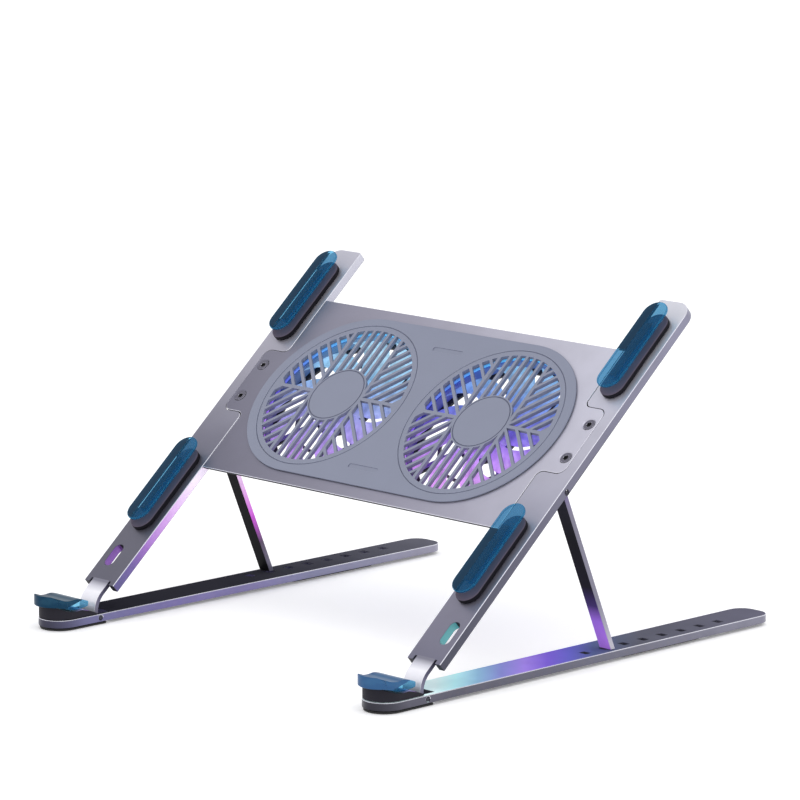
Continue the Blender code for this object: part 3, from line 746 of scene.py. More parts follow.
# Silicone where the sheet's round rim gathers more of the blue, and where the stem stays clear.
GEL_RIM = Gel("blue_silicone_rim", "#1a6a94", cover=0.55)
GEL_STEM = Gel("clear_silicone_stem", "#8fb8d0", "#a8d8ef", 0.0)


def edge_mark(along: tuple[float, float, float], place: float) -> Tint:
    """White before a place along a direction, black after it; turn the direction for the reverse."""
    return Tint(along, place - 1.0, place + 1.0, ((0.45, "#ffffff"), (0.55, "#000000")))


def rail_gel(side: Side, level: str) -> Gel:
    """A rail cushion: its outer half pigmented, and on the right only beyond the plate.

    Args:
        side: Which rail.
        level: The lower or the upper cushion.

    Returns:
        The gel.
    """
    if side is Side.LEFT:
        return Gel("blue_silicone_left", dense=(edge_mark((1.0, 0.0, 0.0), -113.1),))
    end = edge_mark(ALONG_Y, 72.0) if level == "lower" else edge_mark((0.0, -1.0, 0.0), -182.4)
    return Gel(f"blue_silicone_right_{level}", dense=(edge_mark((1.0, 0.0, 0.0), 110.5), end))


def stop_gel(side: Side) -> Gel:
    """A stop cushion: pigmented above a slanting line, clear below it and at the tail.

    Args:
        side: Which bar.

    Returns:
        The gel.
    """
    pigment = "#0f364f" if side is Side.LEFT else "#335983"
    return Gel(f"blue_silicone_stop_{side.word}", pigment=pigment,
               dense=(edge_mark((0.0, 0.28, -1.0), -13.9),))


def blade_finish(side: Side) -> Finish:
    """Clear polycarbonate blades, lit from the rim: cool at the top and violet at the bottom.

    Args:
        side: Which fan.

    Returns:
        The finish.
    """
    if side is Side.LEFT:
        stops = ((0.0, "#b98adf"), (0.25, "#a493dc"), (0.5, "#93a4d8"), (0.75, "#8dbede"), (1.0, "#b4dcee"))
    else:
        stops = ((0.0, "#e0a0ee"), (0.28, "#b88ae8"), (0.5, "#7468ce"), (0.75, "#6a8ad0"), (1.0, "#8fbfe0"))
    return Finish(f"lit_polycarbonate_{side.word}", Tint(ALONG_Y, -38.0, 38.0, stops), 0.16, ior=1.58,
                  grain=3.0, relief=0.05, glow=0.45, unevenness=0.35, patch=7.0)


def fan_frame_finish(side: Side) -> Finish:
    """Smoke-grey moulded ABS, washed with the light ring's blue and violet.

    Args:
        side: Which fan.

    Returns:
        The finish.
    """
    stops = ((0.0, "#5a3f86"), (0.4, "#3c3f7c"), (0.7, "#46689a"), (1.0, "#6f9fc4"))
    if side is Side.RIGHT:
        stops = ((0.0, "#6a3f92"), (0.4, "#3a3486"), (0.7, "#3f4aa6"), (1.0, "#5376b4"))
    return Finish(f"lit_smoke_abs_{side.word}", Tint(ALONG_Y, 90.0, 176.0, stops), 0.4, ior=1.53, glow=0.3)


def ring_finish(side: Side) -> Finish:
    """An acrylic light ring, glowing in the fans' colours."""
    stops = ((0.0, "#e07af0"), (0.5, "#6f6cf0"), (1.0, "#66d0ff"))
    return Finish(f"lit_acrylic_{side.word}", Tint(ALONG_Y, 90.0, 176.0, stops), 0.3, ior=1.49, glow=0.35)


def paint(obj: bpy.types.Object, finishes: Sequence[Finish | Gel], rule: Rule | None = None) -> None:
    """Gives an object its finishes, and each face one of them.

    Args:
        obj: The finished object.
        finishes: The first is the main one; the second, if any, is for the rounded edges.
        rule: Picks a finish from the face's centre in mm, its normal, and whether it is an edge face.
    """
    mesh = obj.data
    edges = [face.material_index == 1 for face in mesh.polygons]
    mesh.materials.clear()
    for finish in finishes:
        mesh.materials.append(finish.make())
    for face, edge in zip(mesh.polygons, edges):
        face.material_index = rule(face.center / MM, face.normal, edge) if rule else int(edge)


# ---------------------------------------------------------------- the frame


@dataclass(frozen=True)
class Layout:
    """Where each body's own frame stands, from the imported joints."""

    platform: Matrix
    hinge: Matrix
    knee: Matrix
    tilt: float
    hinge_on_slope: tuple[float, float]


@dataclass(frozen=True)
class Sizes:
    """The sizes that several sub-assemblies share, in mm."""

    bar_inner: float = 101.8
    bar_outer: float = 122.3
    bar_front: float = -27.4
    bar_length: float = 260.0
    bar_thick: float = 3.8
    rail_inner: float = 101.3
    rail_outer: float = 122.3
    rail_length: float = 220.0
    rail_thick: float = 4.5
    pin: float = 1.0
    slot_x: float = 115.0
    slot_first: float = 109.2
    slot_pitch: float = 13.1
    strut_s: float = 105.5
    strut_h: float = -3.0
    strut_inner: float = 113.3
    strut_outer: float = 120.7
    strut_thick: float = 2.6
    plate_thick: float = 1.5
    fan_s: float = 132.6
    fan_x: float = 49.4
    spindle_h: float = -5.6
    panel_end_x: float = 50.6
    screw_x: float = 111.0
    screw_offset: float = 10.2
    plate_half: float = 100.95
    tab_half: float = 19.7
    tab_reach: float = 115.7
    panel_radius: float = 48.9

    @property
    def bar_mid(self) -> float:
        """The middle of a base bar across."""
        return (self.bar_inner + self.bar_outer) / 2

    @property
    def rail_mid(self) -> float:
        """The middle of a rail across."""
        return (self.rail_inner + self.rail_outer) / 2

    def cover_screws(self) -> list[tuple[float, float]]:
        """Where the four screws of the rear cover are."""
        return [(x, y) for x in (-10.0, 10.0) for y in (self.fan_s - 41.0, self.fan_s + 26.0)]


def read_layout(joints: list[dict], sizes: Sizes) -> Layout:
    """The bodies' frames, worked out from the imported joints.

    Args:
        joints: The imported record's joints.
        sizes: The shared sizes.

    Returns:
        The frames in metres.
    """
    found = {joint["name"]: joint for joint in joints}
    spin, fold = found["fan_spin_right"], found["base_fold_right"]
    knee = found["strut_fold_right"]["pos_m"]
    tilt = math.atan2(-spin["axis"][1], spin["axis"][2])
    turn = Matrix.Rotation(tilt, 4, "X")
    spindle = turn @ (Vector((sizes.fan_x, sizes.fan_s, sizes.spindle_h)) * MM)
    origin = Vector(spin["pos_m"]) - spindle
    platform = Matrix.Translation(origin) @ turn
    hinge = Vector((0.0, *fold["pos_m"][1:]))
    on_slope = platform.inverted() @ hinge
    foot_y = sizes.slot_first + sizes.slot_pitch
    foot = hinge + Vector((0.0, foot_y, sizes.bar_thick / 2)) * MM
    angle = math.atan2(foot.z - knee[2], foot.y - knee[1])
    strut = Matrix.Translation((0.0, *knee[1:])) @ Matrix.Rotation(angle, 4, "X")
    return Layout(platform, Matrix.Translation(hinge), strut, tilt,
                  (on_slope.y / MM, on_slope.z / MM))


def settle(obj: bpy.types.Object, place: Matrix, body: str, slot: str, *nodes: str) -> bpy.types.Object:
    """Puts a piece where its body is, on the body, in place of its CAD nodes.

    Args:
        obj: The finished object.
        place: Where the body's own frame stands.
        body: The body that carries it.
        slot: The material slot it belongs to; not used.
        nodes: The CAD nodes that it stands for.

    Returns:
        The object.
    """
    obj.matrix_world = place
    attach(obj, body)
    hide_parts(*nodes)
    LOG.info("%s: %d faces on %s", obj.name, len(obj.data.polygons), body)
    return obj


# ---------------------------------------------------------------- base bars


@dataclass
class BaseBar:
    """One base bar with its hinge pin, front stop, silicone cushion and two feet."""

    side: Side
    sizes: Sizes
    layout: Layout
    foot_thick: float = 1.4
    slot_count: int = 8
    slot_half: tuple[float, float] = (2.5, 2.0)
    window_half: float = 7.7
    window_y: tuple[float, float] = (-4.2, 7.3)
    rear_foot_y: tuple[float, float] = (128.0, 186.0)
    stop_height: float = 6.2
    cushion_rise: float = 5.6
    cushion_overhang: float = 2.6

    @property
    def half(self) -> float:
        """Half the bar's width."""
        return (self.sizes.bar_outer - self.sizes.bar_inner) / 2

    def _settle(self, obj: bpy.types.Object, slot: str, node: str) -> None:
        """Puts a piece on the bar."""
        settle(obj, self.layout.hinge, f"base_{self.side.word}", slot, f"{node}_{self.side.word}")

    def outline(self) -> Outline:
        """The right bar from above: a round front end, and a rear end with rounded corners.

        Returns:
            The points of the outline.
        """
        s, corner = self.sizes, 8.0
        rear = s.bar_front + s.bar_length
        line = arc(s.bar_mid, s.bar_front + self.half, self.half, 180, 360, 40)
        line += arc(s.bar_outer - corner, rear - corner, corner, 0, 90, 12)
        return line + arc(s.bar_inner + corner, rear - corner, corner, 90, 180, 12)

    def bar(self) -> None:
        """The extruded bar with its window for the rail's tongue and its eight strut slots."""
        s, half = self.sizes, self.sizes.bar_thick / 2
        piece = Workpiece(f"base_bar_{self.side.word}_extrusion",
                          prism(across(self.outline(), self.side), -half, half))
        window = rounded_box(s.rail_mid - self.window_half, s.rail_mid + self.window_half,
                             *self.window_y, 0.8, 3)
        piece.cut(prism(across(window, self.side), -half - 1, half + 1))
        slots, (slot_x, slot_y) = [], self.slot_half
        for i in range(self.slot_count):
            y = s.slot_first + s.slot_pitch * i
            line = rounded_box(s.slot_x - slot_x, s.slot_x + slot_x, y - slot_y, y + slot_y, 0.5, 3)
            slots.append(prism(across(line, self.side), -half - 1, half + 1))
        piece.cut(*slots)
        ends = span(self.side, s.bar_inner - 1, s.bar_outer + 1)
        piece.cut(prism(circle(0, 0, s.pin + GAP, 24), *ends, Plane.YZ))
        obj = piece.soften(0.28, edge=1).done()

        def rule(centre: Vector, normal: Vector, edge: bool) -> int:
            """Bright edges round the top only, the top face with its painted light and shade, dark walls and
            underside.

            Args:
                centre: The face's centre in mm.
                normal: Which way it looks.
                edge: Whether it is an edge face.

            Returns:
                The finish's number.
            """
            outer = abs(abs(centre.x) - s.bar_mid) > self.half - 1.0
            ends = abs(centre.y - s.bar_front - s.bar_length / 2) > s.bar_length / 2 - self.half
            if edge and centre.z > 0:
                return 1 if outer or ends else 0
            return 0 if normal.z > 0.9 else 3 if normal.z < -0.9 else 2

        paint(obj, (BAR_TOP[self.side], CUT_EDGE, BAR_WALL[self.side], UNDERSIDE), rule)
        self._settle(obj, "bar_metal", "base_bar")

    def pin(self) -> None:
        """The hinge pin, chamfered at both ends."""
        s = self.sizes
        ends = span(self.side, s.bar_inner + 0.2, s.bar_outer - 0.2)
        piece = Workpiece(f"base_pin_{self.side.word}_turned",
                          prism(circle(0, 0, s.pin, 32), *ends, Plane.YZ))
        obj = piece.soften(0.2, 2, edge=1).done()
        paint(obj, (PIN_STEEL, PIN_STEEL))
        self._settle(obj, "pin_steel", "base_pin")

    def wave(self, rise: float, shift: float) -> Outline:
        """The wavy top of the stop from its rear end to its front lip, on one smooth line.

        Args:
            rise: How far it is raised.
            shift: How far it is moved along the bar.

        Returns:
            The points of the line.
        """
        crests = [(-5.0, 2.0), (-8.7, 3.3), (-12.0, 4.0), (-15.5, 3.7), (-19.0, 4.0),
                  (-22.5, 5.2), (-25.0, self.stop_height)]
        return [(y + shift, z + rise) for y, z in smoothed(crests, 5)]

    def plan(self, front: float, rear: float, inset: float) -> Outline:
        """The stop from above: the bar's round front end, carried back to the tongue.

        Args:
            front: How far forward it reaches.
            rear: Where it ends.
            inset: How much narrower than the bar it is on each side.

        Returns:
            The points of the outline.
        """
        half = self.half - inset
        line = arc(self.sizes.bar_mid, front + half, half, 180, 360, 40)
        middle = self.sizes.bar_mid
        return across(line + [(middle + half, rear), (middle - half, rear)], self.side)

    def shaped(self, name: str, plan: Outline, profile: Outline, edge: float) -> bpy.types.Object:
        """The plan's outline raised high, kept only where it lies inside the side profile.

        Args:
            name: The object's name.
            plan: The outline from above.
            profile: The outline from the side, above the bar's top.
            edge: The reach of the rounded edges.

        Returns:
            The finished object.
        """
        top = self.sizes.bar_thick / 2
        piece = Workpiece(name, prism(plan, top - 1, top + 20))
        ends = span(self.side, self.sizes.bar_inner - 3, self.sizes.bar_outer + 3)
        piece.keep(prism([(y, z + top) for y, z in profile], *ends, Plane.YZ))
        return piece.soften(edge, 4, 50, edge=0).done()

    def stop(self) -> None:
        """The rubber stop that the laptop's front edge leans on."""
        s = self.sizes
        profile = [(-30.0, GAP), (-2.0, GAP), (-2.0, 0.8)] + self.wave(0, 0)
        profile += [(-30.0, self.stop_height)]
        obj = self.shaped(f"front_stop_{self.side.word}_moulding",
                          self.plan(s.bar_front + 0.2, -2.2, 0.2), profile, 0.25)
        # The ramp's top faces take the painted violet highlight.
        paint(obj, (STOP_RUBBER, STOP_RUBBER, STOP_TOP_HIGHLIGHT),
              lambda centre, normal, edge: 2 if normal.z > 0.5 and centre.y > -16 else 0)
        self._settle(obj, "pad_rubber", "front_stop")

    def cushion(self) -> None:
        """The translucent silicone cushion on the stop: a raised front lip and a thin tail."""
        s, rise, shift = self.sizes, self.cushion_rise, -self.cushion_overhang
        under = [(-25.5, self.stop_height + GAP), (-22.2, 5.8), (-18.6, 4.7), (-12.0, 4.6),
                 (-7.8, 5.2)]
        profile = [(-34.0, self.stop_height + GAP)] + smoothed(under, 4) + self.wave(rise, shift)
        profile += [(-34.0, self.stop_height + rise + 0.2)]
        obj = self.shaped(f"stop_cushion_{self.side.word}_moulding",
                          self.plan(s.bar_front + shift, -7.4, 0.0), profile, 0.5)
        paint(obj, (stop_gel(self.side),), lambda centre, normal, edge: 0)
        self._settle(obj, "gel_silicone", "stop_cushion")

    def feet(self) -> None:
        """The black rubber feet below the bar's front end and below its rear half."""
        low, high = -self.sizes.bar_thick / 2 - self.foot_thick, -self.sizes.bar_thick / 2 - GAP
        middle, half = self.sizes.bar_mid, self.half - 0.6
        front = arc(middle, self.sizes.bar_front + 0.6 + half, half, 180, 360, 40)
        front += [(middle + half, 4.0), (middle - half, 4.0)]
        rear = rounded_box(middle - 7.0, middle + 7.0, *self.rear_foot_y, 4.0, 8)
        for node, line in (("front_foot", front), ("rear_foot", rear)):
            piece = Workpiece(f"{node}_{self.side.word}_moulding",
                              prism(across(line, self.side), low, high))
            obj = piece.soften(0.35).done()
            paint(obj, (FOOT_RUBBER,))
            self._settle(obj, "foot_rubber", node)

    def build(self) -> None:
        """All the pieces that move with the bar."""
        self.bar()
        self.pin()
        self.stop()
        self.cushion()
        self.feet()


def smoothed(points: Outline, steps: int) -> Outline:
    """A Catmull-Rom curve through the points, with this many steps between each two.

    Args:
        points: The points to pass through.
        steps: The steps from each to the next.

    Returns:
        The points of the curve.
    """
    ends = [points[0], *points, points[-1]]
    curve: Outline = []
    for before, start, end, after in zip(ends, ends[1:], ends[2:], ends[3:]):
        for k in range(steps):
            t = k / steps
            weights = (-t + 2 * t**2 - t**3, 2 - 5 * t**2 + 3 * t**3,
                       t + 4 * t**2 - 3 * t**3, -t**2 + t**3)
            spots = (before, start, end, after)
            curve.append((sum(w * p[0] for w, p in zip(weights, spots)) / 2,
                          sum(w * p[1] for w, p in zip(weights, spots)) / 2))
    return curve + [points[-1]]


# ---------------------------------------------------------------- rails


@dataclass
class Rail:
    """One rail with its tongue, strut pin, rubber pads and silicone cushions."""

    side: Side
    sizes: Sizes
    layout: Layout
    neck_half: float = 5.75
    neck_thick: float = 2.4
    neck_straight: float = 4.5
    neck_bend: float = 12.8
    knuckle: float = 1.75
    slot_mid: float = 115.4
    slot_y: tuple[float, float] = (10.7, 23.8)
    slot_width: float = 6.0
    channel_depth: float = 3.3
    channel_reach: tuple[float, float] = (9.0, 92.0)
    shank: float = 1.8
    pad_mid: float = 111.8
    pad_width: float = 13.6
    pad_length: float = 51.0
    pad_height: float = 3.0
    cushion_top: float = 7.8
    cushion_sheet: float = 1.3
    cushion_shift: float = 1.3
    cushion_extra: float = 2.0
    pad_starts: dict[str, float] = field(default_factory=lambda: {"lower": 33.5, "upper": 158.5})

    def _settle(self, obj: bpy.types.Object, slot: str, node: str) -> None:
        """Puts a piece on the platform."""
        settle(obj, self.layout.platform, "platform", slot, f"{node}_{self.side.word}")

    def outline(self) -> Outline:
        """The right rail: notched lower corners beside the tongue, the outer top corner rounded.

        Returns:
            The points of the outline.
        """
        s, notch, depth, corner = self.sizes, 1.3, 2.2, 8.0
        neck_in, neck_out = s.rail_mid - self.neck_half, s.rail_mid + self.neck_half
        lower = [(s.rail_inner, 0), (neck_in - notch, 0), (neck_in - notch, depth), (neck_in, depth)]
        lower += [(neck_out, depth), (neck_out + notch, depth), (neck_out + notch, 0)]
        lower += [(s.rail_outer, 0)]
        upper = arc(s.rail_outer - corner, s.rail_length - corner, corner, 0, 90, 14)
        inner = arc(s.rail_inner + 1.5, s.rail_length - 1.5, 1.5, 90, 180, 5)
        return lower + upper + inner

    def tongue(self) -> Outline:
        """The curved tongue from the rail's lower end down to the knuckle round the hinge pin.

        Returns:
            Its outline from the side.
        """
        turn = 90 - math.degrees(self.layout.tilt)
        centre = (-self.neck_straight, -self.neck_bend)
        outside = arc(*centre, self.neck_bend, 90, 90 + turn, 16)
        inside = arc(*centre, self.neck_bend - self.neck_thick, 90 + turn, 90, 16)
        knuckle = arc(*self.layout.hinge_on_slope, self.knuckle, 90 + turn, 270 + turn, 14)
        return [(3.0, 0.0)] + outside + knuckle + inside + [(3.0, -self.neck_thick)]

    def rail(self) -> None:
        """The milled rail, its slot, its channel for the strut and its pocket for the plate's tab."""
        s, sign = self.sizes, self.side.value
        piece = Workpiece(f"rail_{self.side.word}_milled",
                          prism(across(self.outline(), self.side), -s.rail_thick, 0))
        ends = span(self.side, s.rail_mid - self.neck_half, s.rail_mid + self.neck_half)
        piece.add(prism(self.tongue(), *ends, Plane.YZ))
        bore = circle(*self.layout.hinge_on_slope, s.pin + GAP, 24)
        piece.cut(prism(bore, ends[0] - 1, ends[1] + 1, Plane.YZ))
        slot = long_stadium(self.slot_mid, *self.slot_y, self.slot_width, 14)
        piece.cut(prism(across(slot, self.side), -s.rail_thick - 1, 1))
        pocket = tab_outline(s, 0.35, 0.12) + [(90.0, s.fan_s + 23.7), (90.0, s.fan_s - 23.7)]
        piece.cut(prism(across(pocket, self.side), -s.plate_thick - GAP, 1))
        below, above = self.channel_reach
        channel = box_outline(s.strut_inner - GAP, s.strut_outer + GAP,
                              s.strut_s - below, s.strut_s + above)
        piece.cut(prism(across(channel, self.side), -s.rail_thick - 1, -s.rail_thick + self.channel_depth))
        pin_ends = span(self.side, s.strut_inner - 4, s.rail_outer + 1)
        piece.cut(prism(circle(s.strut_s, s.strut_h, s.pin + GAP, 20), *pin_ends, Plane.YZ))
        shanks = [turned(box_outline(0, self.shank, -6, 1), 24, sign * s.screw_x, y)
                  for y in (s.fan_s - s.screw_offset, s.fan_s + s.screw_offset)]
        piece.cut(*shanks)
        obj = piece.soften(0.28, edge=1).done()
        inner = s.rail_mid - s.rail_inner - 1.5

        # Painted light and shade: tops and walls lighter up the rail, the fans' light painted in the slots
        # and on the left inner wall, the flanks and the lower end painted in shade.
        finishes = {
            "top": rail_top(self.side),
            "rim": CUT_EDGE,
            "outer": side_light(self.side, True),
            "inner": side_light(self.side, False),
            "below": UNDERSIDE,
            "tongue": POLISHED_STEEL,
            "slot": SLOT_WALL[self.side],
            "flank": TONGUE_SIDE_SHADE,
            "end": SHADED_WALL,
        }
        order = list(finishes)

        def part_of(centre: Vector, normal: Vector, edge: bool) -> str:
            """The part of the rail that a face is on, from where it is and which way it looks.

            Args:
                centre: The face's centre in mm.
                normal: Which way it looks.
                edge: Whether it is an edge face.

            Returns:
                The part's name.
            """
            if centre.y < 2.0 and abs(abs(centre.x) - s.rail_mid) < self.neck_half + 0.2:
                return "flank" if abs(normal.x) > 0.9 else "tongue"
            if normal.y < -0.9 and not edge:
                return "end"
            outward = abs(centre.x) - s.rail_mid
            if edge:
                rim = abs(outward) > inner or centre.y > s.rail_length - 8
                return ("rim" if rim else "top") if centre.z > -1.5 else "below"
            if normal.z > 0.9:
                return "top"
            if normal.z < -0.9:
                return "below"
            if 8 < centre.y < 26 and abs(outward) < inner:
                return "slot"
            return "outer" if outward > 0 else "inner"

        paint(obj, tuple(finishes.values()), lambda *face: order.index(part_of(*face)))
        self._settle(obj, "rail_metal", "rail")

    def pads(self) -> None:
        """Dark pads, each with a T-section silicone cushion standing on it by its stem."""
        for level, start in self.pad_starts.items():
            end = start + self.pad_length
            line = long_stadium(self.pad_mid, start, end, self.pad_width, 24)
            piece = Workpiece(f"rail_pad_{level}_{self.side.word}_moulding",
                              prism(across(line, self.side), GAP, self.pad_height))
            obj = piece.soften(0.55, 4, edge=1).done()
            # The pads' sides painted darker than their tops as shade.
            paint(obj, (PAD_TOP, PAD_SIDE_SHADE),
                  lambda centre, normal, edge: 0 if normal.z > 0.55 else 1)
            self._settle(obj, "pad_rubber", f"rail_pad_{level}")
            shift = self.cushion_shift
            self.cushion(level, start + shift, end + shift + self.cushion_extra, start, end)

    def cushion(self, level: str, start: float, end: float, pad_start: float, pad_end: float) -> None:
        """One silicone cushion: a thin sheet with a soft rim on a narrow stem.

        Args:
            level: The lower or the upper one.
            start: The sheet's lower end.
            end: Its upper end.
            pad_start: The lower end of the pad below it.
            pad_end: The pad's upper end.
        """
        low, high = self.cushion_top - self.cushion_sheet, self.cushion_top
        line = long_stadium(self.pad_mid, start, end, self.pad_width, 24)
        piece = Workpiece(f"rail_cushion_{level}_{self.side.word}_moulding",
                          prism(across(line, self.side), low, high))
        stem = box_outline(self.pad_mid - 2.0, self.pad_mid + 2.0, pad_start + 9.3, pad_end - 9.3)
        piece.add(prism(across(stem, self.side), self.pad_height + 0.05, (low + high) / 2))
        obj = piece.soften(0.4, 3, edge=1).done()

        def rule(centre: Vector, _normal: Vector, edge: bool) -> int:
            """The sheet, its rim, and the clear stem with the fillet at its root."""
            root = edge and centre.z < high - 0.5 and abs(abs(centre.x) - self.pad_mid) < 2.9
            return 2 if root or centre.z < low - 0.3 else int(edge)

        paint(obj, (rail_gel(self.side, level), GEL_RIM, GEL_STEM), rule)
        # So thin a clear sheet hardly darkens the pad below it.
        obj.visible_shadow = False
        self._settle(obj, "gel_silicone", f"rail_cushion_{level}")

    def pin(self) -> None:
        """The strut's hinge pin across the rail."""
        s = self.sizes
        ends = span(self.side, s.strut_inner - 3.5, s.rail_outer - 0.2)
        line = circle(s.strut_s, s.strut_h, s.pin - 0.2, 28)
        piece = Workpiece(f"strut_pin_{self.side.word}_turned", prism(line, *ends, Plane.YZ))
        obj = piece.soften(0.15, 2, edge=1).done()
        paint(obj, (PIN_STEEL, PIN_STEEL))
        self._settle(obj, "pin_steel", "strut_pin")

    def build(self) -> None:
        """All the pieces of the rail."""
        self.rail()
        self.pin()
        self.pads()


# ---------------------------------------------------------------- struts


@dataclass
class Strut:
    """One flat strut: a round eye at its knee, a shallow relief, and a foot cut level with the bar."""

    side: Side
    sizes: Sizes
    layout: Layout
    relief_x: tuple[float, float] = (116.0, 118.0)
    relief_from: float = 16.0
    relief_short: float = 14.0
    relief_depth: float = 0.6

    def build(self) -> None:
        """The strut, from its knee down."""
        s, half, knee = self.sizes, self.sizes.strut_thick / 2, self.layout.knee
        slot = Vector((0, s.slot_first + s.slot_pitch, s.bar_thick / 2))
        foot = self.layout.hinge.translation + slot * MM
        length = (foot - knee.translation).length / MM
        angle = knee.to_euler().x
        lean = math.tan(math.pi / 2 + angle)
        clear = GAP / math.cos(math.pi / 2 + angle)
        line = arc(0, 0, half, 90, 270, 16)
        line += [(length - clear - half * lean, -half), (length - clear + half * lean, half)]
        ends = span(self.side, s.strut_inner, s.strut_outer)
        piece = Workpiece(f"strut_{self.side.word}_pressed", prism(line, *ends, Plane.YZ))
        piece.cut(prism(circle(0, 0, s.pin + 0.1, 24), ends[0] - 1, ends[1] + 1, Plane.YZ))
        relief = rounded_box(*self.relief_x, self.relief_from, length - self.relief_short, 0.9, 6)
        piece.cut(prism(across(relief, self.side), half - self.relief_depth, half + 1))
        obj = piece.soften(0.3, edge=1).done()

        def rule(centre: Vector, normal: Vector, edge: bool) -> int:
            """Broad faces dark, narrow walls and their rounded edges light."""
            return 2 if abs(normal.x) > (0.3 if edge else 0.9) else 0

        paint(obj, (STRUT_FACE[self.side], STRUT_FACE[self.side], STRUT_WALL[self.side]), rule)
        settle(obj, knee, f"strut_{self.side.word}", "bar_metal", f"strut_{self.side.word}")


# ---------------------------------------------------------------- plate and grille


def tab_outline(s: Sizes, grow: float, outer_grow: float) -> Outline:
    """The plate's tab on the right: a fillet out of the plate's side, then a rounded end.

    Args:
        s: The shared sizes.
        grow: How much wider than the tab the outline is on each side.
        outer_grow: How much further out it reaches.

    Returns:
        The points from the lower fillet to the upper one.
    """
    root, corner = 3.6, 4.4
    half, reach, waist = s.tab_half + grow, s.tab_reach + outer_grow, s.plate_half + grow
    up = arc(reach - corner, s.fan_s + half - corner, corner, 0, 90, 12)
    up += arc(waist + root, s.fan_s + half + root, root, 270, 180, 12)
    return [(x, 2 * s.fan_s - y) for x, y in reversed(up)] + up


@dataclass
class CrossPlate:
    """The plate between the rails, with its stadium hole and four countersunk screws."""

    sizes: Sizes
    layout: Layout
    low: float = 77.1
    high: float = 187.5
    hole_inset: float = 1.4
    socket: float = 1.45

    def plate(self) -> None:
        """The blanked plate."""
        s = self.sizes
        line = [(s.plate_half, self.low)] + tab_outline(s, 0, 0) + [(s.plate_half, self.high)]
        line += [(-x, y) for x, y in reversed(line)]
        piece = Workpiece("cross_plate_blanked", prism(line, -s.plate_thick, 0))
        hole = wide_stadium(s.panel_end_x, s.fan_s, s.panel_radius - self.hole_inset, 60)
        piece.cut(prism(hole, -s.plate_thick - 1, 1))
        seat = [(0, -3), (1.9, -3), (1.9, -1.4), (3.75, 0.05), (3.75, 1), (0, 1)]
        piece.cut(*(turned(seat, 40, side * s.screw_x, s.fan_s + up * s.screw_offset)
                    for side in (-1, 1) for up in (-1, 1)))
        obj = piece.soften(0.22, 2, 50, edge=1).done()
        # The rounded top edges bright; the plate's walls and underside painted near black as shade.
        paint(obj, (PLATE, CUT_EDGE, SHADED_WALL),
              lambda centre, normal, edge: 1 if edge and centre.z > -0.8 else 0 if normal.z > 0.5 else 2)
        settle(obj, self.layout.platform, "platform", "plate_metal", "cross_plate")

    def screws(self) -> None:
        """Countersunk socket screws, two through each tab into its rail."""
        profile = [(0, -4.3), (1.5, -4.3), (1.5, -1.38), (3.0, -0.2), (0, -0.2)]
        s = self.sizes
        for side in Side:
            for level, up in (("lower", -1), ("upper", 1)):
                x, y = side.value * s.screw_x, s.fan_s + up * s.screw_offset
                piece = Workpiece(f"plate_screw_{level}_{side.word}_turned", turned(profile, 48, x, y))
                piece.cut(prism(circle(x, y, self.socket, 6), -1.2, 1))
                obj = piece.soften(0.12, 2, edge=1).done()

                def rule(centre: Vector, _normal: Vector, edge: bool, x: float = x, y: float = y) -> int:
                    """The socket is painted dark as shade, its rim bright."""
                    near = math.hypot(centre.x - x, centre.y - y)
                    return 2 if near < 1.4 and centre.z > -1.3 else 1 if edge else 0

                paint(obj, (SCREW_NICKEL, CUT_EDGE, SOCKET_SHADE), rule)
                settle(obj, self.layout.platform, "platform", "screw_steel",
                       f"plate_screw_{level}_{side.word}")

    def build(self) -> None:
        """The plate and its screws."""
        self.plate()
        self.screws()


